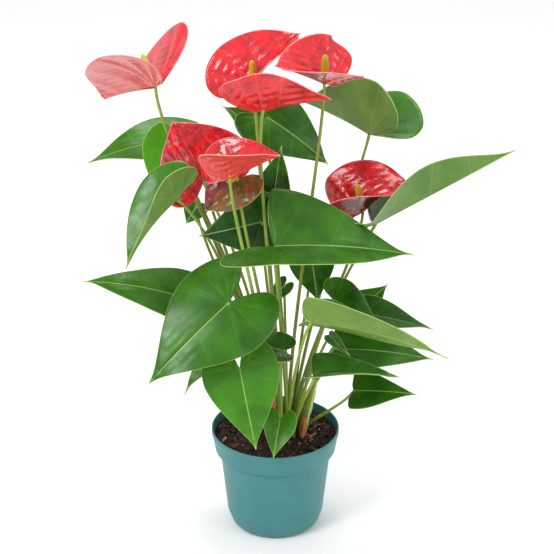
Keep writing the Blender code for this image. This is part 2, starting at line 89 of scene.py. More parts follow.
# Soil
SOIL_GAP = 0.4
SOIL_EDGE = 107.5
SOIL_CROWN = 110.5
SOIL_UNDERSIDE = 70.0
SOIL_COLUMNS = 180
SOIL_RINGS = 46
CHIP_SIZE = (2.8, 1.3, 0.8)
CHIP_SPREAD = 0.4
CHIP_CORNERS = 5

# Plant
LOBE_REACH = 0.34
START_LEAN = 0.25
STEM_GAP = 0.5
PETIOLE_RADII = (2.0, 1.4)
STALK_RADII = (2.1, 1.5)
STALK_RISE = 2.0
LEAF_ROWS = 72
LEAF_COLUMNS = 18
SPATHE_ROWS = 84
SPATHE_COLUMNS = 26
LEAF_VEINS = 10
SPATHE_VEINS = 9
STEM_ROWS = 56
STEM_SIDES = 14
KNEE_SWELL = 0.35
SPATHE_RIPPLE = 2.6
LEAF_PUCKER = 0.15
FULL_LEAF = 90.0
SPADIX_COLUMNS = 72
BEADS_AROUND = 11
BEAD_PITCH = 3.4
BUD_COLUMNS = 48
BUD_STALK_ROWS = 24
SHEATH_ROWS = 48
SHEATH_COLUMNS = 10
SHEATH_THICKNESS = 0.6
SHEATH_CRUMPLE = 0.5
BUD_PLACE = (-2.0, -33.0)
BUD_BASE = 153.0
BUD_PROFILE = [(0, 0), (1.5, 0), (2.6, 2.5), (3.3, 8), (2.4, 16), (0.8, 23.5), (0, 25)]
BUD_STALK_RADIUS = 1.6
SPADIX_PROFILE = [
    (0, 0.0), (1.4, 0.0), (2.6, 0.16), (3.7, 0.38), (3.7, 0.6), (2.9, 0.86), (1.5, 0.97), (0, 1.0),
]

# Half outlines in lengths from joint to tip: x along the midrib, y across
LEAF_OUTLINE = [
    (-0.10, 0.03), (-0.23, 0.09), (-0.32, 0.19), (-0.29, 0.32), (-0.12, 0.42), (0.12, 0.44),
    (0.36, 0.36), (0.58, 0.235), (0.76, 0.12), (0.88, 0.045), (0.95, 0.014), (1.0, 0.0),
]
SPATHE_OUTLINE = [
    (-0.14, 0.04), (-0.32, 0.12), (-0.42, 0.27), (-0.36, 0.44), (-0.16, 0.55), (0.12, 0.56),
    (0.40, 0.47), (0.64, 0.33), (0.82, 0.17), (0.92, 0.07), (0.97, 0.02), (1.0, 0.0),
]

SHEATH_OUTLINE = [
    (0.0, 0.34), (0.15, 0.46), (0.4, 0.5), (0.65, 0.42), (0.85, 0.24), (0.95, 0.1), (1.0, 0.0),
]

# Stage, in metres: lights are (name, place, size, watts)
FLOOR_REACH = 8.0
SKY_STRENGTH = 0.8
PLANT_MIDDLE = (0.02, 0, 0.35)
LIGHTS = [
    ("key softbox", (-1.3, -1.3, 1.9), 0.8, 30), ("fill softbox", (1.6, -1.2, 1.1), 0.8, 9),
    ("top softbox", (0.1, 0.5, 2.1), 0.9, 18),
]
CAMERA_PLACE = (0.00187, -1.9027, 1.1936)
CAMERA_PITCH = 25.2
CAMERA_LENS = 128.7
CAMERA_SENSOR = 36.0
CAMERA_REACH = 50.0

# joint and tip: where the petiole meets the blade, and the blade's point
# face: the way the upper side looks
# width: across the blade, in lengths from joint to tip
# back: how far the left and right back lobes reach, as a share of the outline's
# arch: height of the midrib's bow, same unit; lobes: how high the back lobes curve up
# fold, end_fold: degrees that the left and right halves rise from flat, at the joint and tip
# curl: degrees that each half gains from the midrib to the margin
# base: foot of the petiole; rise: its first handle; enter: its last handle, in petiole lengths
# lean: how far the spadix leans to the spathe's tip; length: the spadix's own
FIELDS = "name joint tip face width back arch lobes fold end_fold curl base rise enter"
Leaf = namedtuple("Leaf", FIELDS)
Flower = namedtuple("Flower", FIELDS + " lean length")

LEAVES = [
    # left side, from the back to the front
    Leaf("leaf_01", (-107, 88, 420), (-201, 62, 403), (-0.1, -0.35, 0.9),
         0.7, (1, 1), 0.06, 0, (5, 5), (2.5, 2.5), (10, 10), (0, 11.5), 0.4, (-0.12, 0.02, 0.15)),
    Leaf("leaf_02", (-107, 52, 426), (-124, 40, 364), (-0.3, -0.9, 0.35),
         1, (1, 1), 0.02, 0, (15, 15), (7.5, 7.5), (10, 10), (0, 5), 0.4, (-0.05, 0, 0.15)),
    Leaf("leaf_03", (-100, -42, 405), (-152, -78, 343), (-0.7, -0.2, 0.68),
         0.9, (1, 1), 0.06, 0, (62, 62), (31, 31), (-10, -10), (-6.5, -8), 0.4, (-0.1, -0.18, 0.16)),
    Leaf("leaf_04", (-88, -15, 278), (-201, -40, 312), (0, -0.45, 0.9),
         0.62, (1, 1), 0.06, 0, (5, 5), (2.5, 2.5), (-10, -10), (-6.5, -1.5), 0.35, (-0.2, 0, 0.1)),
    Leaf("leaf_05", (-48, -62, 298), (-131, -100, 223), (-0.1, -0.8, 0.65),
         0.92, (1, 1), 0.05, 0, (3, 3), (1.5, 1.5), (-20, -20), (-6.5, -14.5), 0.35, (-0.05, -0.05, 0.15)),
    Leaf("leaf_06", (-36, 55, 183), (-102, 30, 137), (-0.3, -0.2, 0.9),
         0.6, (1, 1), 0.14, 0, (35, 35), (17.5, 17.5), (0, 0), (-6.5, 11.5), 0.35, (-0.2, 0, 0.1)),
    Leaf("leaf_07", (-37, -75, 228), (-20, -105, 148), (-0.05, -0.85, 0.5),
         0.92, (1, 1), 0.05, 0, (4, 4), (2, 2), (-10, -10), (-6.5, -21), 0.35, (0, -0.05, 0.12)),
    # middle
    Leaf("leaf_08", (5, -64, 159), (-2, -88, 128), (0, -0.8, 0.6),
         0.9, (1, 1), 0.06, 0, (12, 12), (6, 6), (0, 0), (3, -27.5), 0.35, (0, -0.1, 0.15)),
    Leaf("leaf_09", (0, -66, 364), (143, -56, 349), (0, -0.34, 0.94),
         0.85, (0.12, 1.15), 0.04, 0, (30, 26), (-5, 12), (0, 0), (13, -8), 0.45, (0, -0.12, 0.25)),
    Leaf("leaf_10", (-3, 12, 365), (7, 16, 442), (-0.4, -0.9, 0.1),
         0.75, (1, 1), 0.03, 0, (20, 20), (10, 10), (0, 0), (13, 5), 0.35, (0, 0, 0.2)),
    Leaf("leaf_11", (-14, -11, 367), (-80, -23, 356), (0, -0.97, 0.25),
         0.95, (1, 1), 0.03, 0, (5, 5), (2.5, 2.5), (-10, -10), (6.5, -1.5), 0.35, (0, 0, 0.2)),
    # right side, from the top down
    Leaf("leaf_12", (106, 8, 356), (252, 28, 432), (-0.47, 0.38, 0.8),
         0.68, (0.1, 0.75), 0, 0.35, (25, 5), (50, 95), (0, 0), (19.5, -1.5), 0.35, (0.1, -0.04, 0.2)),
    Leaf("leaf_13", (100, 70, 433), (27, 148, 443), (0.3, 0.3, 0.9),
         1.15, (1, 1.2), 0.02, 0, (64, 56), (32, 28), (5, 5), (19.5, 11.5), 0.35, (0.02, -0.05, 0.15)),
    Leaf("leaf_14", (-8, 65, 454), (57, 60, 402), (0.2, -0.7, 0.7),
         0.9, (1, 1), 0.06, 0, (8, 8), (4, 4), (-10, -10), (13, 11.5), 0.35, (0, 0, 0.15)),
    Leaf("leaf_15", (-20, 95, 433), (-57, 100, 454), (0, -0.6, 0.8),
         0.8, (1, 1), 0.02, 0, (10, 10), (5, 5), (0, 0), (6.5, 18), 0.35, (0, 0, 0.15)),
    Leaf("leaf_16", (62, -14, 278), (110, -31, 254), (0.1, -0.6, 0.8),
         0.95, (1, 1), 0.06, 0, (10, 10), (5, 5), (0, 0), (26, 5), 0.35, (0.05, 0, 0.15)),
    Leaf("leaf_17", (83, 60, 220), (124, 65, 259), (0.1, -0.7, 0.6),
         0.9, (1, 1), 0, 0, (10, 10), (5, 5), (0, 0), (26, 18), 0.35, (0.05, 0, 0.15)),
    Leaf("leaf_18", (94, 15, 247), (171, 5, 233), (0.1, -0.3, 1),
         0.6, (1, 1), 0.03, 0, (20, 20), (10, 10), (0, 0), (26, 11.5), 0.35, (0.05, 0, 0.15)),
    Leaf("leaf_19", (37, -85, 287), (177, -115, 260), (0.26, 0.6, 0.77),
         0.66, (0.3, 0.2), 0.04, 0, (5, 20), (2.5, 10), (0, 0), (13, -14.5), 0.35, (0.05, -0.02, 0.1)),
    Leaf("leaf_20", (64, -15, 220), (168, -40, 220), (0.1, -0.5, 0.9),
         0.66, (0.1, 0.1), 0.05, 0, (5, 5), (2.5, 2.5), (0, 0), (26, -1.5), 0.35, (0.05, 0, 0.1)),
    Leaf("leaf_21", (57, -46, 252), (79, -50, 230), (-0.5, -0.3, 0.6),
         0.45, (0.3, 0.3), 0.05, 0, (20, 20), (10, 10), (0, 0), (19.5, -8), 0.35, (0, -0.25, 0.15)),
    Leaf("leaf_22", (41, -60, 209), (131, -85, 223), (0.05, 0, 1),
         0.6, (0.1, 0.1), 0.04, 0, (38, 30), (27.5, 17.5), (0, 0), (19.5, -14.5), 0.35, (0.02, 0, 0.1)),
    Leaf("leaf_23", (85, -20, 172), (152, -40, 178), (0.1, -0.6, 0.8),
         0.65, (0.15, 0.15), 0.04, 0, (5, 5), (2.5, 2.5), (0, 0), (32.5, 5), 0.15, (0.12, 0, 0.22)),
    # deep in the middle
    Leaf("leaf_24", (39, 32, 306), (46, 22, 258), (0, -0.9, 0.4),
         1, (1, 1), 0.03, 0, (5, 5), (2.5, 2.5), (0, 0), (19.5, 18), 0.35, (0, 0, 0.15)),
    Leaf("leaf_25", (6, -42, 233), (-26, -50, 253), (0, -0.6, 0.8),
         1, (1, 1), -0.12, 0, (10, 0), (5, 0), (20, 20), (6.5, -21), 0.35, (0, 0, 0.15)),
    Leaf("leaf_26", (10, 58, 261), (-6, 50, 243), (0, -0.8, 0.6),
         0.8, (1, 1), 0.03, 0, (5, 5), (2.5, 2.5), (0, 0), (13, 18), 0.35, (0, 0, 0.15)),
    Leaf("leaf_27", (-84, 35, 365), (-95, 30, 346), (0, -0.8, 0.6),
         1.2, (1, 1), 0.03, 0, (5, 5), (2.5, 2.5), (0, 0), (-6.5, 5), 0.35, (0, 0, 0.15)),
]

FLOWERS = [
    Flower("flower_1", (-123, 22, 503), (-183, 92, 465), (0.1, 0.1, 1),
           1.5, (1, 0.5), 0.02, 0, (44, 50), (26, 30), (-30, 20), (0, -1.5), 0.35, (0, 0, 0.15), 0.45, 36),
    Flower("flower_2", (-22, 36, 503), (26, 60, 549), (-0.5, -0.43, 0.76),
           1.45, (1, 0.6), 0.05, 0, (45, 45), (22.5, 22.5), (0, 0), (6.5, 5), 0.35, (0, 0, 0.15), 0.6, 24),
    Flower("flower_3", (50, 0, 515), (0, -40, 548), (0.4, -0.07, 0.91),
           1.4, (0.9, 1.35), 0.02, 0.12, (45, 50), (18.5, 18.5), (0, 0),
           (13, -1.5), 0.35, (0, 0, 0.15), 0.8, 34),
    Flower("flower_4", (-12, -50, 504), (56, -60, 520), (-0.17, 0.56, 0.8),
           1.25, (1, 1.5), 0.03, 0.1, (30, 24), (20, 20), (40, 40),
           (6.5, -8), 0.35, (0.03, -0.03, 0.15), 0.4, 36),
    Flower("flower_5", (-74, 2, 415), (-106, 10, 470), (0.1, -0.9, 0.5),
           1.7, (0.5, 0.9), 0.02, 0, (30, 10), (15, 5), (0, 0), (0, -8), 0.35, (0, -0.04, 0.15), 0.4, 30),
    Flower("flower_6", (-45, -78, 442), (5, -90, 473), (-0.41, 0.12, 0.91),
           1.5, (1.2, 0.4), 0.02, 0, (38, 54), (20, 28), (25, 12),
           (0, -14.5), 0.35, (0, -0.06, 0.15), 0, 26),
    Flower("flower_7", (-38, -35, 424), (-72, -38, 391), (-0.1, -0.8, 0.5),
           1.15, (1, 1), 0.03, 0, (10, 10), (5, 5), (-10, -10), (6.5, -14.5), 0.35, (0, 0, 0.15), 0.5, 20),
    Flower("flower_8", (93, 29, 360), (149, 25, 390), (-0.35, -0.1, 0.9),
           1.75, (0.5, 0.3), 0.15, 0, (51, 50), (10, 5), (0, 10),
           (19.5, 5), 0.35, (0, 0.03, 0.15), 0.3, 32),
]

# Papery sheaths that clasp the petioles' feet; joint is the foot here
SHEATHS = [
    Leaf("sheath_green", (30, -12.5, 111.5), (45, -17, 184), (0.1, 1, 0.1),
         0.13, (1, 1), 0.02, 0, (45, 45), (30, 30), (30, 30), (0, 0), 0, (0, 0, 0)),
    Leaf("sheath_dry", (29, -19, 111.5), (32, -20.5, 141), (0.1, 1, 0.1),
         0.3, (1, 1), 0.05, 0, (35, 35), (20, 20), (30, 30), (0, 0), 0, (0, 0, 0)),
]

YOUNG_LEAVES = ("leaf_02", "leaf_08")
OLD_FLOWER = "flower_7"


# Leaf tone from 0 deep bluish green to 1 fresh yellow-green, set by the leaf's age and, on leaf_11, which
# hangs in shadow under the flowers, partly painted shade; bronze: how red the petiole is
LeafLook = namedtuple("LeafLook", "youth bronze")
PLAIN_LEAF = LeafLook(0.3, 0.25)
LEAF_LOOKS = {
    "leaf_01": LeafLook(0.6, 0.2), "leaf_02": LeafLook(1.0, 0.1), "leaf_03": LeafLook(0.5, 0.3),
    "leaf_04": LeafLook(0.45, 0.2), "leaf_05": LeafLook(0.4, 0.3), "leaf_06": LeafLook(0.5, 0.2),
    "leaf_07": LeafLook(0.6, 0.1), "leaf_08": LeafLook(0.6, 0.1), "leaf_09": LeafLook(0.4, 0.1),
    # leaf_11's low tone is partly painted shade for its place in shadow under the flowers
    "leaf_10": LeafLook(0.2, 0.3), "leaf_11": LeafLook(0.1, 0.3), "leaf_12": LeafLook(0.35, 0.2),
    "leaf_13": LeafLook(0.5, 0.1), "leaf_15": LeafLook(0.5, 0.2), "leaf_19": LeafLook(0.6, 0.1),
}

# blush, under: 0 deep red to 1 salmon pink, on the upper side and underneath
FlowerLook = namedtuple("FlowerLook", "blush under bronze gold")
FLOWER_LOOKS = {
    "flower_1": FlowerLook(0.35, 0.9, 0.7, 0.1), "flower_2": FlowerLook(0.45, 0.4, 0.3, 0.6),
    "flower_3": FlowerLook(0.5, 0.1, 0.6, 0.2), "flower_4": FlowerLook(0.3, 0.3, 0.4, 0.4),
    "flower_5": FlowerLook(0.1, 0.3, 0.3, 0.9), "flower_6": FlowerLook(0.2, 0.8, 0.0, 0.5),
    "flower_7": FlowerLook(0.0, 0.2, 0.3, 0.6), "flower_8": FlowerLook(0.1, 0.2, 0.4, 0.7),
}


# ---------------------------------------------------------------- numbers

def linear(code):
    """Linear RGBA of an sRGB hex colour."""
    shares = [int(code[i:i + 2], 16) / 255 for i in (1, 3, 5)]
    return tuple(c / 12.92 if c <= 0.04045 else ((c + 0.055) / 1.055)**2.4 for c in shares) + (1.0,)


def smooth_curve(points, count):
    """`count` points along a Catmull-Rom curve through `points`."""
    knots = np.array(points, float)
    knots = np.vstack([2 * knots[0] - knots[1], knots, 2 * knots[-1] - knots[-2]])
    t = np.linspace(0, len(points) - 1, count)
    i = np.minimum(t.astype(int), len(points) - 2)
    u = (t - i)[:, None]
    a, b, c, d = knots[i], knots[i + 1], knots[i + 2], knots[i + 3]
    return 0.5 * (2 * b + (c - a) * u + (2 * a - 5 * b + 4 * c - d) * u**2 + (3 * b - a - 3 * c + d) * u**3)


def lumps(places, pitch, seed, waves=24):
    """Smooth noise from -1 to 1 at places (..., 3): the mean of sine waves in
    many directions, each about `pitch` long."""
    dice = np.random.RandomState(seed)
    ways = dice.normal(size=(waves, 3))
    ways /= np.linalg.norm(ways, axis=1)[:, None]
    ways *= (2 * math.pi / pitch) * dice.uniform(0.7, 1.4, (waves, 1))
    phases = dice.uniform(0, 2 * math.pi, waves)
    return np.clip(np.sin(places @ ways.T + phases).sum(axis=-1) / math.sqrt(waves), -1, 1)


def grid_normals(points):
    """Unit normals of a grid: the column step crossed with the row step."""
    normals = np.cross(np.gradient(points, axis=1), np.gradient(points, axis=0))
    return normals / np.maximum(np.linalg.norm(normals, axis=-1, keepdims=True), 1e-9)


def blade_frame(plan):
    """Unit vectors along the midrib and out of the upper side."""
    along = np.array(plan.tip, float) - np.array(plan.joint, float)
    along /= np.linalg.norm(along)
    up = np.array(plan.face, float)
    up -= (up @ along) * along
    return along, up / np.linalg.norm(up)


def blade_points(plan, outline, rows, columns):
    """Grid of points of a leaf blade or spathe, rows from the sinus to the tip.

    Each row runs from the left margin in to its foot on the midrib and out to
    the right margin, the way the side veins run.  The cross-section of each
    half is an arc that starts at the fold angle and turns by the curl angle.
    """
    joint, tip = np.array(plan.joint, float), np.array(plan.tip, float)
    length = np.linalg.norm(tip - joint)
    along, up = blade_frame(plan)
    side = np.cross(along, up)

    half_width = max(y for _, y in outline)
    margin = smooth_curve(outline, rows)
    near_tip = np.clip((margin[:, 0] + 0.05) / 1.05, 0, 1)
    foot = np.clip(margin[:, 0] - 0.8 * margin[:, 1] * (1 - near_tip), 0, 1)
    foot[-1] = 1
    share = np.linspace(-1, 1, 2 * columns + 1)
    left = share < 0
    reach = np.where(left, plan.back[0], plan.back[1])
    edge = margin[:, :1] * np.where(margin[:, :1] < 0, reach, 1)
    x = foot[:, None] + (edge - foot[:, None]) * np.abs(share)
    y = margin[:, 1:] * share / half_width

    joint_fold = np.where(left, plan.fold[0], plan.fold[1])
    tip_fold = np.where(left, plan.end_fold[0], plan.end_fold[1])
    fold = np.radians(joint_fold + (tip_fold - joint_fold) * np.clip(x, 0, 1))
    curl = np.radians(np.where(left, plan.curl[0], plan.curl[1])) + 1e-3
    out = np.abs(y)
    half = plan.width / 2
    lateral = half / curl * (np.sin(fold + curl * out) - np.sin(fold)) * np.sign(y)
    height = half / curl * (np.cos(fold) - np.cos(fold + curl * out))
    behind = np.minimum(x, 0) / LOBE_REACH
    rise = 4 * plan.arch * x * (1 - x) + plan.lobes * behind**2
    slope = 4 * plan.arch * (1 - 2 * x) + 2 * plan.lobes * behind / LOBE_REACH
    stretch = np.sqrt(1 + slope**2)
    forward = x - height * slope / stretch
    upward = rise + height / stretch
    return joint + length * (
        forward[..., None] * along + upward[..., None] * up + lateral[..., None] * side)


def blade_measures(points):
    """Shares and real sizes that the relief and the veins need.

    Gives the column share from the midrib (0) to the margin (1), the row
    share, the length of each row's half and the spacing of the rows per unit
    of row share.
    """
    rows, columns = points.shape[:2]
    middle = columns // 2
    steps = np.linalg.norm(np.diff(points, axis=1), axis=-1)
    halves = np.where(np.arange(columns) < middle,
                      steps[:, :middle].sum(axis=1)[:, None], steps[:, middle:].sum(axis=1)[:, None])
    spacing = np.linalg.norm(np.gradient(points, axis=0), axis=-1) * (rows - 1)
    share = np.abs(np.linspace(-1, 1, columns))[None, :] * np.ones((rows, 1))
    return share, np.linspace(0, 1, rows)[:, None], halves, spacing


def quilted(points, veins, depth, pucker, ripple, seed):
    """Blade grid raised between its veins.

    The height is depth times |sin(pi * veins * row share)| ^ 0.8, less where
    the veins stand close.  Puckers run along each panel as sine waves whose
    phase differs from panel to panel, the midrib is a groove 1.2 mm wide, and
    the margin waves up and down by `ripple`.
    """
    share, row, halves, spacing = blade_measures(points)
    dice = np.random.RandomState(seed)
    panel = np.floor(row * veins).astype(int)
    between = np.abs(np.sin(math.pi * veins * row))**0.8
    room = np.clip(spacing / veins / 9, 0, 1)
    phase = dice.uniform(0, 2 * math.pi, (2, veins + 1))
    left = np.linspace(-1, 1, points.shape[1])[None, :] < 0
    shift = np.where(left, phase[0][np.minimum(panel, veins)], phase[1][np.minimum(panel, veins)])
    crease = np.sin(share * halves * 2 * math.pi / 9 + shift + 2 * between)
    swell = np.clip(share * 6, 0, 1) * (1 - share**6)
    height = room * between * swell * (depth + pucker * crease)
    height -= 0.5 * depth * np.exp(-(share * halves / 1.2)**2)
    wave = np.sin(2 * math.pi * (2.3 * row + dice.uniform()) + np.where(left, 0, 1.9))
    height += ripple * share**3 * wave * np.clip(spacing / veins / 9, 0, 1) * (1 - row**4)
    return points + grid_normals(points) * height[..., None]


def soil_height(radius):
    """Height of the soil, slightly mounded round the plant."""
    return SOIL_EDGE + (SOIL_CROWN - SOIL_EDGE) * (1 - (radius / RIM_RADIUS)**2)


def stem_handles(plan):
    """The four Bezier points of a petiole or stalk, from the soil to the joint."""
    x, y = plan.base
    foot = np.array([x, y, soil_height(math.hypot(x, y)) + STEM_GAP])
    joint = np.array(plan.joint, float)
    span = joint - foot
    length = np.linalg.norm(span)
    start = np.array([START_LEAN * span[0] / length, START_LEAN * span[1] / length, 1.0])
    start /= np.linalg.norm(start)
    return foot, foot + start * length * plan.rise, joint - length * np.array(plan.enter), joint


def bezier(handles, rows):
    """Points and unit directions along a cubic Bezier curve."""
    t = np.linspace(0, 1, rows)[:, None]
    a, b, c, d = handles
    points = (1 - t)**3 * a + 3 * (1 - t)**2 * t * b + 3 * (1 - t) * t**2 * c + t**3 * d
    ways = (1 - t)**2 * (b - a) + 2 * (1 - t) * t * (c - b) + t**2 * (d - c)
    return points, ways / np.linalg.norm(ways, axis=1)[:, None]


def round_stem(points, ways, radii, sides=STEM_SIDES):
    """Tube along a path: a ring round each point, square to the path's
    direction there, with a closed cap at both ends.

    The rings start from the direction that the whole path runs along least.
    """
    level = np.linalg.svd(ways)[2][-1]
    first = np.cross(ways, level)
    first /= np.linalg.norm(first, axis=1)[:, None]
    second = np.cross(ways, first)
    angle = np.linspace(0, 2 * math.pi, sides + 1)[None, :, None]
    ring = np.cos(angle) * first[:, None] + np.sin(angle) * second[:, None]
    tube = points[:, None] + ring * np.asarray(radii)[:, None, None]
    ends = np.ones((1, sides + 1, 1))
    return np.concatenate([points[0] * ends, tube, points[-1] * ends])


def turned(profile, columns):
    """Surface of revolution: each (radius, height) of the profile goes round
    the Z axis.  A profile that goes up on its outside faces outwards."""
    profile = np.array(profile, float)
    angle = np.linspace(0, 2 * math.pi, columns + 1)
    return np.stack([
        profile[:, :1] * np.cos(angle), profile[:, :1] * np.sin(angle),
        profile[:, 1:] * np.ones_like(angle)], axis=-1)


def rounded(profile, radius, steps=4):
    """Profile whose inner corners are eased by a curve that starts and ends
    `radius` before and after the corner, or a third of a shorter side."""
    profile = [np.array(place, float) for place in profile]
    eased = [profile[0]]
    for before, corner, after in zip(profile, profile[1:], profile[2:]):
        back, ahead = before - corner, after - corner
        start = corner + back * min(1 / 3, radius / max(np.linalg.norm(back), 1e-6))
        end = corner + ahead * min(1 / 3, radius / max(np.linalg.norm(ahead), 1e-6))
        for t in np.linspace(0, 1, steps):
            eased.append((1 - t)**2 * start + 2 * (1 - t) * t * corner + t**2 * end)
    return np.array(eased + [profile[-1]])


def finer(profile, gap):
    """Profile with extra points, so that none are more than `gap` apart."""
    places = [profile[0]]
    for start, end in zip(profile, profile[1:]):
        count = max(1, int(np.linalg.norm(end - start) / gap))
        places += [start + (end - start) * (i + 1) / count for i in range(count)]
    return np.array(places)


# ---------------------------------------------------------------- meshes

def quads_of(index):
    """Corners of every quad of a grid of vertex numbers, or of a stack of grids."""
    corners = (index[..., :-1, :-1], index[..., :-1, 1:], index[..., 1:, 1:], index[..., 1:, :-1])
    return np.stack(corners, axis=-1).reshape(-1, 4)


def surface(name, points, finishes, numbers=None):
    """Mesh object from a grid of points in millimetres.

    The UV map holds the column share as u and the row share as v, and
    `numbers` go into point attributes.  Rows or columns that meet are welded,
    so tips, poles and seams are closed.
    """
    rows, columns = points.shape[:2]
    index = np.arange(rows * columns).reshape(rows, columns)
    quads = quads_of(index)
    mesh = bpy.data.meshes.new(name)
    mesh.from_pydata((points.reshape(-1, 3) * MM).tolist(), [], quads.tolist())
    u, v = np.meshgrid(np.linspace(0, 1, columns), np.linspace(0, 1, rows))
    grid = np.stack([u, v], axis=-1).reshape(-1, 2)[quads.reshape(-1)]
    mesh.uv_layers.new(name="grid").data.foreach_set("uv", grid.astype(np.float32).ravel())
    for label, values in (numbers or {}).items():
        layer = mesh.attributes.new(label, "FLOAT", "POINT")
        layer.data.foreach_set("value", np.broadcast_to(values, (rows, columns)).astype(np.float32).ravel())
    return finished(name, mesh, finishes)


def finished(name, mesh, finishes):
    """Object of a welded, smooth mesh with its finishes."""
    work = bmesh.new()
    work.from_mesh(mesh)
    bmesh.ops.remove_doubles(work, verts=work.verts, dist=WELD)
    bmesh.ops.dissolve_degenerate(work, edges=work.edges, dist=WELD)
    work.to_mesh(mesh)
    work.free()
    mesh.shade_smooth()
    for finish in finishes:
        mesh.materials.append(finish)
    piece = bpy.data.objects.new(name, mesh)
    bpy.context.scene.collection.objects.link(piece)
    return piece


def thicken(piece, thickness):
    """Gives a sheet its thickness, with its second finish underneath."""
    shell = piece.modifiers.new("thickness", "SOLIDIFY")
    shell.thickness = thickness
    shell.offset = 0.0
    shell.material_offset = 1
    shell.material_offset_rim = 0
    return piece


def settle(piece, slot, *nodes):
    """Rides the piece on the plant's body and hides the CAD nodes that it
    stands for."""
    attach(piece, BODY)
    if nodes:
        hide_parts(*nodes)
    return piece


def match_box(node, *grids):
    """Raises an error if the fine shape and the CAD node's box differ by more
    than BOX_SLACK on any side."""
    low, high = (np.array(corner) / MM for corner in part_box(node))
    places = np.concatenate([grid.reshape(-1, 3) for grid in grids])
    apart = max(np.abs(places.min(axis=0) - low).max(), np.abs(places.max(axis=0) - high).max())
    if apart > BOX_SLACK:
        raise RuntimeError(f"{node} is {apart:.1f} mm off its CAD box")


# ---------------------------------------------------------------- finishes

def add(tree, kind, inputs=None, **settings):
    """Adds one node, sets its settings, and sets or links its inputs."""
    made = tree.nodes.new(kind)
    for label, value in settings.items():
        setattr(made, label, value)
    for label, value in (inputs or {}).items():
        socket = made.inputs[label]
        if isinstance(value, bpy.types.NodeSocket):
            tree.links.new(value, socket)
        else:
            socket.default_value = value
    return made


def maths(tree, operation, first, second=None, clamp=False):
    """Socket of one Math node."""
    inputs = {0: first} if second is None else {0: first, 1: second}
    return add(tree, "ShaderNodeMath", inputs, operation=operation, use_clamp=clamp).outputs[0]


def mapped(tree, value, start=0.0, end=1.0, low=0.0, high=1.0):
    """Socket of the value taken from start..end to low..high, and kept there."""
    return add(tree, "ShaderNodeMapRange", {0: value, 1: start, 2: end, 3: low, 4: high},
               clamp=True).outputs[0]


def mixed(tree, share, first, second):
    """Socket of two colours mixed by share."""
    return add(tree, "ShaderNodeMix", {0: share, 6: first, 7: second}, data_type="RGBA").outputs[2]


def attribute(tree, label):
    """Socket of a point attribute."""
    return add(tree, "ShaderNodeAttribute", attribute_name=label).outputs["Fac"]


def grid_map(tree):
    """Socket of the UV map."""
    return add(tree, "ShaderNodeUVMap", uv_map="grid").outputs[0]


def grid_share(tree, axis):
    """Socket of the column share (0) or the row share (1)."""
    return add(tree, "ShaderNodeSeparateXYZ", {0: grid_map(tree)}).outputs[axis]


def streaks(tree, scale, detail):
    """Socket of noise that is drawn out along the rows."""
    stretched = add(tree, "ShaderNodeMapping", {"Vector": grid_map(tree), "Scale": scale}).outputs[0]
    return add(tree, "ShaderNodeTexNoise", {"Vector": stretched, "Scale": 1.0, "Detail": detail}).outputs[0]


def rough(tree, height, strength, distance):
    """Socket of a normal that is bumped by a height."""
    inputs = {"Height": height, "Strength": strength, "Distance": distance}
    return add(tree, "ShaderNodeBump", inputs).outputs[0]


def skinned(tree, end, **inputs):
    """Principled shader on the output; `inputs` has _ where its labels have a space."""
    inputs = {label.replace("_", " "): value for label, value in inputs.items()}
    skin = add(tree, "ShaderNodeBsdfPrincipled", inputs)
    tree.links.new(skin.outputs[0], end.inputs[0])


def new_finish(name):
    """Empty material; gives it, its node tree and its output node."""
    finish = bpy.data.materials.new(name)
    finish.use_nodes = True
    finish.node_tree.nodes.clear()
    return finish, finish.node_tree, finish.node_tree.nodes.new("ShaderNodeOutputMaterial")


def lines(tree, veins):
    """Masks of the side veins, the midrib and the margin, each about 1 mm wide.

    The distance to the nearest vein is the distance in row share times the
    rows' spacing; the distances to the midrib and the margin are shares of
    the half row's length.
    """
    grid = grid_map(tree)
    part = add(tree, "ShaderNodeSeparateXYZ", {0: grid})
    spread = attribute(tree, "spread")
    reach = attribute(tree, "reach")
    phase = maths(tree, "MULTIPLY", part.outputs[1], float(veins))
    nearest = maths(tree, "ROUND", phase)
    off = maths(tree, "SUBTRACT", phase, nearest)
    off = maths(tree, "ABSOLUTE", off)
    off = maths(tree, "MULTIPLY", off, spread)
    off = maths(tree, "MULTIPLY", off, 1.0 / veins)
    vein = mapped(tree, off, 0.1, 0.8, 1.0, 0.0)
    middle = maths(tree, "SUBTRACT", part.outputs[0], 0.5)
    middle = maths(tree, "ABSOLUTE", middle)
    share = maths(tree, "MULTIPLY", middle, 2.0)
    inner = maths(tree, "MULTIPLY", share, reach)
    midrib = mapped(tree, inner, 0.2, 0.9, 1.0, 0.0)
    outer = maths(tree, "SUBTRACT", reach, inner)
    margin = mapped(tree, outer, 0.15, 0.65, 1.0, 0.0)
    return vein, midrib, margin


def blotches(tree, pitch, detail=3.0, low=0.35, high=0.65):
    """Noise from 0 to 1 on Object coordinates, with blotches `pitch` mm wide."""
    place = add(tree, "ShaderNodeTexCoord").outputs["Object"]
    noise = add(tree, "ShaderNodeTexNoise", {"Vector": place, "Scale": 1000.0 / pitch, "Detail": detail})
    return mapped(tree, noise.outputs[0], low, high)


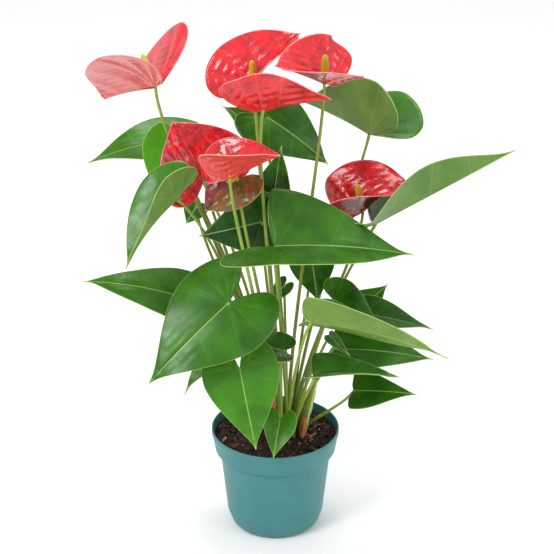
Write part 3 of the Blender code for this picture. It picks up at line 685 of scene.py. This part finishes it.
def leaf_finish(name, deep, fresh, line, edge, roughness, vein_share):
    """Living leaf skin: a thin waxy cuticle over green tissue.

    The cuticle gives a soft gloss, IOR 1.38.  Colour goes
    from deep to fresh by the leaf's age, partly painted shade on a leaf in shadow, and mottles
    by 25 mm blotches; veins and midrib are paler and the margin is a thin pale line.
    """
    finish, tree, end = new_finish(name)
    vein, midrib, margin = lines(tree, LEAF_VEINS)
    mottle = mapped(tree, blotches(tree, 25), low=-0.12, high=0.12)
    # the tone is the leaf's age, and partly painted shade on a leaf that hangs in shadow
    tone = maths(tree, "ADD", attribute(tree, "youth"), mottle, clamp=True)
    colour = mixed(tree, tone, linear(deep), linear(fresh))
    colour = mixed(tree, maths(tree, "MULTIPLY", vein, vein_share), colour, linear(line))
    colour = mixed(tree, maths(tree, "MULTIPLY", midrib, 0.75), colour, linear(line))
    colour = mixed(tree, maths(tree, "MULTIPLY", margin, 0.7), colour, linear(edge))
    gloss = mapped(tree, blotches(tree, 9), low=roughness - 0.04, high=roughness + 0.07)
    bump = rough(tree, blotches(tree, 1.6, 2.0), 0.25, 0.00012)
    skinned(tree, end, Base_Color=colour, Roughness=gloss, Normal=bump, IOR=1.38)
    return finish


def spathe_finish(name, label, deep, bright, pale, roughness, vein_share):
    """Waxy bract skin: lacquer-like cuticle over red tissue.

    A coat of IOR 1.5 gives sharp white glints on the puckers.  Colour goes
    from deep to bright by 12 mm blotches and to pale by the flower's blush;
    the veins and the margin are paler.
    """
    finish, tree, end = new_finish(name)
    vein, _, margin = lines(tree, SPATHE_VEINS)
    colour = mixed(tree, blotches(tree, 12), linear(deep), linear(bright))
    streak = mapped(tree, blotches(tree, 5, 4.0), low=0.45)
    pink = maths(tree, "MULTIPLY", attribute(tree, label), streak, clamp=True)
    colour = mixed(tree, pink, colour, linear(pale))
    colour = mixed(tree, maths(tree, "MULTIPLY", vein, vein_share), colour, linear("#f27a78"))
    colour = mixed(tree, maths(tree, "MULTIPLY", margin, 0.8), colour, linear("#f49a96"))
    bump = rough(tree, blotches(tree, 3.2, 3.0, 0.3, 0.7), 0.5, 0.0004)
    skinned(tree, end, Base_Color=colour, Roughness=roughness, Normal=bump, IOR=1.5,
            Coat_Weight=0.35, Coat_Roughness=0.08)
    return finish


def faded_finish(name):
    """Old spathe skin: one half has turned olive and orange, the other is
    a dark glossy red-brown, streaked along its veins."""
    finish, tree, end = new_finish(name)
    _, _, margin = lines(tree, SPATHE_VEINS)
    side = mapped(tree, grid_share(tree, 0), 0.42, 0.6)
    olive = mixed(tree, blotches(tree, 10), linear("#4d500c"), linear("#8e4412"))
    brown = mixed(tree, blotches(tree, 6, 5.0), linear("#4a0e06"), linear("#8c2410"))
    colour = mixed(tree, side, olive, brown)
    colour = mixed(tree, margin, colour, linear("#d99a63"))
    bump = rough(tree, blotches(tree, 3.2, 3.0, 0.3, 0.7), 0.5, 0.0004)
    skinned(tree, end, Base_Color=colour, Roughness=0.3, Normal=bump, Coat_Weight=0.3, Coat_Roughness=0.12)
    return finish


def stem_finish(name):
    """Petiole and stalk skin: smooth and faintly waxy, bronze low down and on
    one side, green towards the top, with streaks that run along it."""
    finish, tree, end = new_finish(name)
    streak = mapped(tree, streaks(tree, (9.0, 3.0, 1.0), 4.0), 0.3, 0.7, 0.4, 1.3)
    low = mapped(tree, grid_share(tree, 1), low=1.0, high=0.45)
    tone = maths(tree, "MULTIPLY", attribute(tree, "bronze"), streak)
    tone = maths(tree, "MULTIPLY", tone, low, clamp=True)
    colour = mixed(tree, tone, linear("#86a838"), linear("#84401f"))
    skinned(tree, end, Base_Color=colour, Roughness=0.38, IOR=1.45)
    return finish


def spadix_finish(name):
    """Spadix of tightly set florets: matt beads, golden, with painted shade that darkens the gaps
    between them, and green towards the tip where they have not opened."""
    finish, tree, end = new_finish(name)
    climb = maths(tree, "SUBTRACT", grid_share(tree, 1), attribute(tree, "gold"))
    climb = mapped(tree, climb, -0.1, 0.5)
    colour = mixed(tree, climb, linear("#e9a80c"), linear("#c2c832"))
    # painted shade: the colour darkens in the gaps between the beads, where shade falls
    gap = mapped(tree, attribute(tree, "bead"), -0.4, 0.35, 0.75, 0.0)
    colour = mixed(tree, gap, colour, linear("#7c6a10"))
    skinned(tree, end, Base_Color=colour, Roughness=0.55)
    return finish


def plastic_finish(name, colour):
    """Polypropylene, injection moulded: satin, IOR 1.49, with a 1.5 mm mould
    grain drawn coarse enough to show and faint scuffs."""
    finish, tree, end = new_finish(name)
    scuff = blotches(tree, 22, 5.0, 0.45, 0.75)
    tint = mixed(tree, scuff, colour, [min(1, c * 1.12) for c in colour[:3]] + [1])
    gloss = mapped(tree, scuff, low=0.42, high=0.52)
    bump = rough(tree, blotches(tree, 1.5, 2.0), 0.2, 0.0001)
    skinned(tree, end, Base_Color=tint, Roughness=gloss, Normal=bump, IOR=1.49)
    return finish


def peat_finish(name, colour):
    """Moist peat: rough, dark brown, lighter on 3 mm crumbs."""
    finish, tree, end = new_finish(name)
    crumb = blotches(tree, 3, 6.0)
    tint = mixed(tree, crumb, linear("#150d0b"), colour)
    bump = rough(tree, blotches(tree, 1.2, 6.0), 0.9, 0.0012)
    skinned(tree, end, Base_Color=tint, Roughness=0.92, Normal=bump)
    return finish


def bark_finish(name):
    """Bark chips, wood fibre and root bits: each has a shade of its own, from
    near black to tan."""
    finish, tree, end = new_finish(name)
    grain = mapped(tree, blotches(tree, 1.5, 5.0), low=-0.12, high=0.12)
    tone = maths(tree, "ADD", attribute(tree, "shade"), grain, clamp=True)
    ramp = add(tree, "ShaderNodeValToRGB", {0: tone})
    stops = ramp.color_ramp.elements
    stops[0].color, stops[1].color = linear("#1a100d"), linear("#b98f74")
    stops.new(0.5).color = linear("#3a241c")
    stops.new(0.8).color = linear("#7d5240")
    skinned(tree, end, Base_Color=ramp.outputs[0], Roughness=0.85)
    return finish


def sheath_finish(name, dark, light, roughness):
    """Sheath tissue: streaked lengthwise, papery where it has dried."""
    finish, tree, end = new_finish(name)
    streak = mapped(tree, streaks(tree, (14.0, 2.0, 1.0), 5.0), 0.3, 0.7)
    colour = mixed(tree, streak, linear(dark), linear(light))
    bump = rough(tree, streak, 0.4, 0.0004)
    skinned(tree, end, Base_Color=colour, Roughness=roughness, Normal=bump)
    return finish


def bud_finish(name):
    """Rolled young spathe: glossy crimson, greener at its foot."""
    finish, tree, end = new_finish(name)
    foot = mapped(tree, grid_share(tree, 1), 0.1, 0.4, 1.0, 0.0)
    colour = mixed(tree, foot, linear("#b3162f"), linear("#8a5a34"))
    skinned(tree, end, Base_Color=colour, Roughness=0.28, Coat_Weight=0.3, Coat_Roughness=0.1)
    return finish


# ---------------------------------------------------------------- settings

def length_setting(name, description, default, **limits):
    """Length with its default in millimetres."""
    return bpy.props.FloatProperty(
        name=name, description=description, default=default * MM, unit="LENGTH", **limits)


def colour_setting(name, description, code):
    """Colour with its default as an sRGB hex code."""
    return bpy.props.FloatVectorProperty(
        name=name, description=description, default=linear(code)[:3], size=3, subtype="COLOR")


class PotSettings(bpy.types.PropertyGroup):
    """What a user would change on the pot."""
    wall: length_setting("Wall", "Thickness of the pot's wall", 1.6, min=0.001)
    colour: colour_setting("Colour", "Colour of the plastic", "#37797b")


class SoilSettings(bpy.types.PropertyGroup):
    """What a user would change in the soil."""
    chips: bpy.props.IntProperty(
        name="Chips", description="Number of bark chips and fibres on top", default=900, min=0)
    colour: colour_setting("Colour", "Colour of the peat's crumbs", "#4a3029")


class LeafSettings(bpy.types.PropertyGroup):
    """What a user would change on the leaves."""
    thickness: length_setting("Thickness", "Thickness of a blade", 0.7, min=0.0001)
    relief: length_setting("Relief", "Height of the blade between its veins", 0.5)
    ripple: length_setting("Ripple", "Height of the waves of the margin", 2.2)


class FlowerSettings(bpy.types.PropertyGroup):
    """What a user would change on the flowers."""
    thickness: length_setting("Thickness", "Thickness of a spathe", 0.8, min=0.0001)
    relief: length_setting("Relief", "Height of the spathe between its veins", 0.9)
    pucker: length_setting("Pucker", "Height of the puckers between the veins", 0.5)
    bead: length_setting("Bead", "Height of the beads of the spadix", 0.35)


class StageSettings(bpy.types.PropertyGroup):
    """What a user would change on the stage."""
    floor: colour_setting("Floor", "Colour of the floor", "#f7f7f7")
    light: bpy.props.FloatProperty(
        name="Light", description="Share of the lights' full power", default=1.0, min=0.0, subtype="FACTOR")


# ---------------------------------------------------------------- operators

class ANTHURIUM_OT_pot(bpy.types.Operator):
    """Makes the pot with its collar and foot notches; the underside is closed"""
    bl_idname = "anthurium.pot"
    bl_label = "Pot"

    def execute(self, context):
        settings = context.scene.anthurium_pot
        wall = settings.wall / MM
        step = RIM_HEIGHT - COLLAR_HEIGHT
        profile = rounded([
            (0, 0), (FOOT_RADIUS, 0), (CHAMFER_RADIUS, CHAMFER_HEIGHT),
            (BODY_FOOT_RADIUS, BODY_FOOT_HEIGHT),
            (BODY_TOP_RADIUS, step - 1.5), (COLLAR_RADIUS, step), (RIM_RADIUS - 0.9, RIM_HEIGHT - 7),
            (RIM_RADIUS, RIM_HEIGHT - 6), (RIM_RADIUS, RIM_HEIGHT), (RIM_RADIUS - wall, RIM_HEIGHT),
            (COLLAR_RADIUS - wall, step + 1.5), (BODY_TOP_RADIUS - wall, step),
            (BODY_FOOT_RADIUS - wall, BODY_FOOT_HEIGHT), (CHAMFER_RADIUS - wall, CHAMFER_HEIGHT + 2),
            (FOOT_RADIUS - 1, FLOOR_HEIGHT), (0, FLOOR_HEIGHT),
        ], POT_CORNERS)
        points = turned(finer(profile, POT_STEP), POT_COLUMNS)
        radius = np.hypot(points[..., 0], points[..., 1])
        turn = np.degrees(np.arctan2(points[..., 1], points[..., 0])) - NOTCH_TURN
        pitch = 360 / FOOT_NOTCHES
        off = np.abs((turn + pitch / 2) % pitch - pitch / 2)
        inside = (off < math.degrees(NOTCH_WIDTH / 2 / CHAMFER_RADIUS)) & (radius > NOTCH_START - 0.5)
        under = np.arange(len(points))[:, None] < len(points) / 2
        points[..., 2] = np.where(inside & under, np.maximum(points[..., 2], NOTCH_HEIGHT), points[..., 2])
        finish = plastic_finish("satin polypropylene", (*settings.colour, 1))
        pot = surface("pot_shell", points, [finish])
        settle(pot, "pot_teal", "pot")
        return {"FINISHED"}


class ANTHURIUM_OT_soil(bpy.types.Operator):
    """Makes the peat and the bark chips and fibres that lie on it"""
    bl_idname = "anthurium.soil"
    bl_label = "Soil"

    def execute(self, context):
        settings = context.scene.anthurium_soil
        wall = context.scene.anthurium_pot.wall / MM
        inset = wall + SOIL_GAP
        edge = COLLAR_RADIUS - inset + (RIM_RADIUS - COLLAR_RADIUS) / COLLAR_HEIGHT * (
            SOIL_EDGE - RIM_HEIGHT + COLLAR_HEIGHT - 2)
        step = RIM_HEIGHT - COLLAR_HEIGHT
        side = [
            (0, SOIL_UNDERSIDE), (BODY_TOP_RADIUS - 8, SOIL_UNDERSIDE),
            (BODY_TOP_RADIUS - inset - 0.5, step), (COLLAR_RADIUS - inset, step + 2.5),
        ]
        top = [(r, soil_height(r)) for r in np.linspace(edge, 0, SOIL_RINGS)]
        points = turned(np.array(side + top), SOIL_COLUMNS)
        rows = np.arange(len(points))[:, None]
        radius = np.hypot(points[..., 0], points[..., 1])
        loose = np.clip((edge - radius) / 3, 0, 1) * (rows > len(side))
        crumbs = 1.1 * lumps(points, 16, 3) + 0.9 * lumps(points, 6, 4) + 0.6 * lumps(points, 3.2, 5)
        points[..., 2] += loose * (crumbs - 0.6)
        peat = surface("peat", points, [peat_finish("moist peat", (*settings.colour, 1))])
        settle(peat, "peat", "soil")

        dice = np.random.RandomState(11)
        count = settings.chips
        spin = dice.uniform(0, 2 * math.pi, count)
        distance = edge * np.sqrt(dice.uniform(0, 0.97, count))
        size = np.exp(dice.normal(0, CHIP_SPREAD, (count, 3))) * CHIP_SIZE
        size[::5] *= (1.8, 0.45, 0.7)
        size[::9] *= 1.5
        place = np.stack([
            distance * np.cos(spin), distance * np.sin(spin), soil_height(distance) + 0.5], axis=-1)
        place[:, 2] += 1.1 * lumps(place, 16, 3)
        yaw, tilt = dice.uniform(0, 2 * math.pi, count), dice.normal(0, 0.28, count)
        long_way = np.stack([np.cos(yaw) * np.cos(tilt), np.sin(yaw) * np.cos(tilt), np.sin(tilt)], axis=-1)
        flat_way = np.stack([-np.sin(yaw), np.cos(yaw), dice.normal(0, 0.3, count)], axis=-1)
        flat_way -= (flat_way * long_way).sum(axis=1)[:, None] * long_way
        flat_way /= np.linalg.norm(flat_way, axis=1)[:, None]
        ways = np.stack([long_way, flat_way, np.cross(long_way, flat_way)], axis=1) * size[..., None]
        room = (edge - 1 - np.hypot(place[:, 0], place[:, 1])) / np.hypot(ways[:, 0, 0], ways[:, 0, 1])
        ways *= np.clip(room, 0.15, 1)[:, None, None]
        corners = np.arange(CHIP_CORNERS) * 2 * math.pi / CHIP_CORNERS
        cross = np.stack([np.cos(corners), np.sin(corners)], axis=-1)
        rings = np.array([(-1, 0), (-0.8, 0.7), (0.1, 1.0), (0.8, 0.6), (1, 0)])
        local = np.stack([
            rings[:, :1] * np.ones(CHIP_CORNERS), rings[:, 1:] * cross[:, 0],
            rings[:, 1:] * cross[:, 1]], axis=-1)
        local = local * (1 + 0.22 * dice.normal(size=(count, 5, 5, 1)))
        chips = place[:, None, None] + local @ ways[:, None]
        chips = np.concatenate([chips, chips[:, :, :1]], axis=2)
        index = np.arange(count * 30).reshape(count, 5, 6)
        mesh = bpy.data.meshes.new("bark_chips")
        mesh.from_pydata((chips.reshape(-1, 3) * MM).tolist(), [], quads_of(index).tolist())
        shade = np.repeat(np.clip(dice.beta(0.9, 1.9, count), 0, 1), 30)
        mesh.attributes.new("shade", "FLOAT", "POINT").data.foreach_set("value", shade.astype(np.float32))
        work = bmesh.new()
        work.from_mesh(mesh)
        bmesh.ops.remove_doubles(work, verts=work.verts, dist=WELD)
        bmesh.ops.recalc_face_normals(work, faces=work.faces)
        work.to_mesh(mesh)
        work.free()
        mesh.materials.append(bark_finish("bark and wood fibre"))
        bark = bpy.data.objects.new("bark_chips", mesh)
        context.scene.collection.objects.link(bark)
        settle(bark, "peat")
        return {"FINISHED"}


class ANTHURIUM_OT_leaves(bpy.types.Operator):
    """Makes every leaf's blade and petiole"""
    bl_idname = "anthurium.leaves"
    bl_label = "Leaves"

    def execute(self, context):
        settings = context.scene.anthurium_leaves
        upper = leaf_finish("waxy leaf", "#0a3206", "#469008", "#9fc46a", "#b4cf70", 0.3, 0.08)
        under = leaf_finish("leaf underside", "#406b30", "#7fa040", "#b4cf80", "#c9dc8c", 0.5, 0.16)
        skin = stem_finish("petiole skin")
        for number, plan in enumerate(LEAVES):
            look = LEAF_LOOKS.get(plan.name, PLAIN_LEAF)
            plain = blade_points(plan, LEAF_OUTLINE, LEAF_ROWS, LEAF_COLUMNS)
            small = min(1.0, np.linalg.norm(np.subtract(plan.tip, plan.joint)) / FULL_LEAF)
            points = quilted(plain, LEAF_VEINS, small * settings.relief / MM, LEAF_PUCKER * small,
                             small * settings.ripple / MM, number + 20)
            _, _, halves, spacing = blade_measures(points)
            numbers = {"spread": spacing, "reach": halves, "youth": look.youth}
            blade = surface(plan.name + "_blade", points, [upper, under], numbers)
            slot = "leaf_young" if plan.name in YOUNG_LEAVES else "leaf_green"
            settle(thicken(blade, settings.thickness), slot, plan.name)

            path, ways = bezier(stem_handles(plan), STEM_ROWS)
            t = np.linspace(0, 1, STEM_ROWS)
            long = np.linalg.norm(np.subtract(plan.joint, path[0]))
            knee = np.exp(-((1 - t) * long / 9 - 0.9)**2)
            radii = PETIOLE_RADII[0] + (PETIOLE_RADII[1] - PETIOLE_RADII[0]) * t + KNEE_SWELL * knee
            tube = round_stem(path, ways, radii)
            petiole = surface(plan.name + "_petiole", tube, [skin], {"bronze": look.bronze})
            settle(petiole, slot, plan.name)
            match_box(plan.name, points, tube)
        return {"FINISHED"}


class ANTHURIUM_OT_flowers(bpy.types.Operator):
    """Makes every flower's stalk, spathe and spadix"""
    bl_idname = "anthurium.flowers"
    bl_label = "Flowers"

    def execute(self, context):
        settings = context.scene.anthurium_flowers
        upper = spathe_finish("waxy spathe", "blush", "#9a000c", "#dc0414", "#e02434", 0.2, 0.1)
        under = spathe_finish("spathe underside", "under", "#a4000c", "#d60c1c", "#dc4640", 0.3, 0.2)
        faded = faded_finish("faded spathe")
        skin = stem_finish("flower stalk skin")
        beads = spadix_finish("spadix florets")
        for number, plan in enumerate(FLOWERS):
            look = FLOWER_LOOKS[plan.name]
            plain = blade_points(plan, SPATHE_OUTLINE, SPATHE_ROWS, SPATHE_COLUMNS)
            points = quilted(plain, SPATHE_VEINS, settings.relief / MM, settings.pucker / MM,
                             SPATHE_RIPPLE, number + 60)
            _, _, halves, spacing = blade_measures(points)
            numbers = {"spread": spacing, "reach": halves, "blush": look.blush, "under": look.under}
            old = plan.name == OLD_FLOWER
            finishes = [faded, faded] if old else [upper, under]
            spathe = surface(plan.name + "_bract", points, finishes, numbers)
            slot = "spathe_old" if old else "spathe_red"
            settle(thicken(spathe, settings.thickness), slot, plan.name + "_spathe")
            match_box(plan.name + "_spathe", points)

            handles = stem_handles(plan)
            end, enter = handles[3], handles[2]
            way = (end - enter) / np.linalg.norm(end - enter)
            path, ways = bezier((*handles[:3], end + STALK_RISE * way), STEM_ROWS)
            radii = np.linspace(*STALK_RADII, STEM_ROWS)
            tube = round_stem(path, ways, radii)
            stalk = surface(plan.name + "_stem", tube, [skin], {"bronze": look.bronze})
            settle(stalk, "stem_bronze", plan.name + "_stalk")
            match_box(plan.name + "_stalk", tube)

            along, up = blade_frame(plan)
            across = math.tan(math.radians(plan.fold[0] - plan.fold[1]) / 2)
            lean = up + plan.lean * along + across * np.cross(along, up)
            lean /= np.linalg.norm(lean)
            tilt = np.linalg.norm(np.cross(way, lean))
            foot = end + (STALK_RISE + 2 * STALK_RADII[1] * tilt) * way
            profile = finer(smooth_curve([(r, h * plan.length) for r, h in SPADIX_PROFILE], 40), 0.4)
            column = turned(profile, SPADIX_COLUMNS)
            angle, height = np.arctan2(column[..., 1], column[..., 0]), column[..., 2]
            around, climb = BEADS_AROUND, 2 * math.pi / BEAD_PITCH
            bead = (np.cos(around * angle + climb * height) + np.cos(climb * height - around * angle)
                    + np.cos(2 * climb * height)) / 3
            radius = np.hypot(column[..., 0], column[..., 1])
            swell = 1 + settings.bead / MM * bead * np.clip(radius / 2, 0, 1) / np.maximum(radius, 0.5)
            column[..., :2] *= swell[..., None]
            first = np.cross(lean, along + up)
            first /= np.linalg.norm(first)
            placed = foot + column @ np.stack([first, np.cross(lean, first), lean])
            # the bead height also paints shade into the gaps between the beads
            spadix = surface(plan.name + "_spike", placed, [beads], {"bead": bead, "gold": look.gold})
            settle(spadix, "spadix_yellow", plan.name + "_spadix")
        return {"FINISHED"}


class ANTHURIUM_OT_bud(bpy.types.Operator):
    """Makes the rolled bud and its stalk"""
    bl_idname = "anthurium.bud"
    bl_label = "Bud"

    def execute(self, context):
        x, y = BUD_PLACE
        profile = finer(smooth_curve(BUD_PROFILE, 40), 0.5)
        column = turned(profile, BUD_COLUMNS)
        angle, height = np.arctan2(column[..., 1], column[..., 0]), column[..., 2]
        wrap = ((angle + height * 0.25) / (2 * math.pi)) % 1
        column[..., :2] *= (1 + 0.13 * (wrap - 0.5))[..., None]
        bud = surface("bud_wrap", column + (x, y, BUD_BASE), [bud_finish("rolled spathe")])
        settle(bud, "bud_crimson", "bud")

        foot = soil_height(math.hypot(x, y)) + STEM_GAP
        heights = np.linspace(foot, BUD_BASE + 0.5, BUD_STALK_ROWS)
        path = np.stack([np.full(BUD_STALK_ROWS, x), np.full(BUD_STALK_ROWS, y), heights], axis=-1)
        ways = np.tile((0.0, 0.0, 1.0), (BUD_STALK_ROWS, 1))
        tube = round_stem(path, ways, np.full(BUD_STALK_ROWS, BUD_STALK_RADIUS))
        stalk = surface("bud_stem", tube, [stem_finish("bud stalk skin")], {"bronze": 0.5})
        settle(stalk, "stem_bronze", "bud_stalk")
        return {"FINISHED"}


class ANTHURIUM_OT_sheaths(bpy.types.Operator):
    """Makes the green and the dry sheath at the petioles' feet"""
    bl_idname = "anthurium.sheaths"
    bl_label = "Sheaths"

    def execute(self, context):
        green = sheath_finish("green sheath", "#8fae52", "#c4d486", 0.45)
        dry = sheath_finish("papery sheath", "#8a4718", "#c9863f", 0.75)
        looks = zip(SHEATHS, (green, dry), ("leaf_young", "sheath_brown"))
        for number, (plan, finish, slot) in enumerate(looks):
            points = blade_points(plan, SHEATH_OUTLINE, SHEATH_ROWS, SHEATH_COLUMNS)
            crumple = SHEATH_CRUMPLE * lumps(points, 9, number + 90)
            points = points + grid_normals(points) * crumple[..., None]
            sheath = surface(plan.name + "_wrap", points, [finish, finish])
            settle(thicken(sheath, SHEATH_THICKNESS * MM), slot, plan.name)
            match_box(plan.name, points)
        return {"FINISHED"}


class ANTHURIUM_OT_stage(bpy.types.Operator):
    """Makes the floor, the studio lights and the camera"""
    bl_idname = "anthurium.stage"
    bl_label = "Stage"

    def execute(self, context):
        settings = context.scene.anthurium_stage
        mesh = bpy.data.meshes.new("floor")
        far = FLOOR_REACH
        corners = [(-far, -far, 0), (far, -far, 0), (far, far, 0), (-far, far, 0)]
        mesh.from_pydata(corners, [], [(0, 1, 2, 3)])
        finish, tree, end = new_finish("matt paper")
        skinned(tree, end, Base_Color=(*settings.floor, 1), Roughness=0.9)
        mesh.materials.append(finish)
        floor = bpy.data.objects.new("floor", mesh)
        context.scene.collection.objects.link(floor)

        world = bpy.data.worlds.new("studio")
        world.use_nodes = True
        world.node_tree.nodes["Background"].inputs[0].default_value = (1, 1, 1, 1)
        world.node_tree.nodes["Background"].inputs[1].default_value = SKY_STRENGTH * settings.light
        context.scene.world = world
        context.scene.view_settings.view_transform = "Standard"

        middle = Vector(PLANT_MIDDLE)
        for name, place, size, power in LIGHTS:
            data = bpy.data.lights.new(name, "AREA")
            data.size = size
            data.energy = power * settings.light
            lamp = bpy.data.objects.new(name, data)
            lamp.location = place
            lamp.rotation_euler = (middle - Vector(place)).to_track_quat("-Z", "Y").to_euler()
            context.scene.collection.objects.link(lamp)

        data = bpy.data.cameras.new("camera")
        data.lens = CAMERA_LENS
        data.sensor_width = CAMERA_SENSOR
        data.clip_end = CAMERA_REACH
        camera = bpy.data.objects.new("camera", data)
        camera.location = CAMERA_PLACE
        camera.rotation_euler = (math.radians(90 - CAMERA_PITCH), 0, 0)
        context.scene.collection.objects.link(camera)
        context.scene.camera = camera
        return {"FINISHED"}


OPERATORS = (
    ANTHURIUM_OT_stage, ANTHURIUM_OT_pot, ANTHURIUM_OT_soil, ANTHURIUM_OT_leaves, ANTHURIUM_OT_flowers,
    ANTHURIUM_OT_bud, ANTHURIUM_OT_sheaths,
)


class ANTHURIUM_PT_panel(bpy.types.Panel):
    """Lists the operators and the settings"""
    bl_idname = "ANTHURIUM_PT_panel"
    bl_label = "Anthurium"
    bl_space_type = "VIEW_3D"
    bl_region_type = "UI"
    bl_category = "Anthurium"

    def draw(self, context):
        layout = self.layout
        for operator in OPERATORS:
            layout.operator(operator.bl_idname)
        for label in SETTINGS:
            box = layout.box()
            group = getattr(context.scene, label)
            for key in group.__annotations__:
                box.prop(group, key)


SETTINGS = {
    "anthurium_pot": PotSettings, "anthurium_soil": SoilSettings, "anthurium_leaves": LeafSettings,
    "anthurium_flowers": FlowerSettings, "anthurium_stage": StageSettings,
}


def register():
    """Registers the settings, the operators and the panel."""
    for kind in (*SETTINGS.values(), *OPERATORS, ANTHURIUM_PT_panel):
        bpy.utils.register_class(kind)
    for label, kind in SETTINGS.items():
        setattr(bpy.types.Scene, label, bpy.props.PointerProperty(type=kind))


def unregister():
    """Takes back what register did."""
    for label in SETTINGS:
        delattr(bpy.types.Scene, label)
    for kind in reversed((*SETTINGS.values(), *OPERATORS, ANTHURIUM_PT_panel)):
        bpy.utils.unregister_class(kind)


def main():
    """Makes everything."""
    register()
    bpy.ops.anthurium.stage()
    bpy.ops.anthurium.pot()
    bpy.ops.anthurium.soil()
    bpy.ops.anthurium.leaves()
    bpy.ops.anthurium.flowers()
    bpy.ops.anthurium.bud()
    bpy.ops.anthurium.sheaths()
    bpy.context.view_layer.update()


if __name__ == "__main__":
    main()
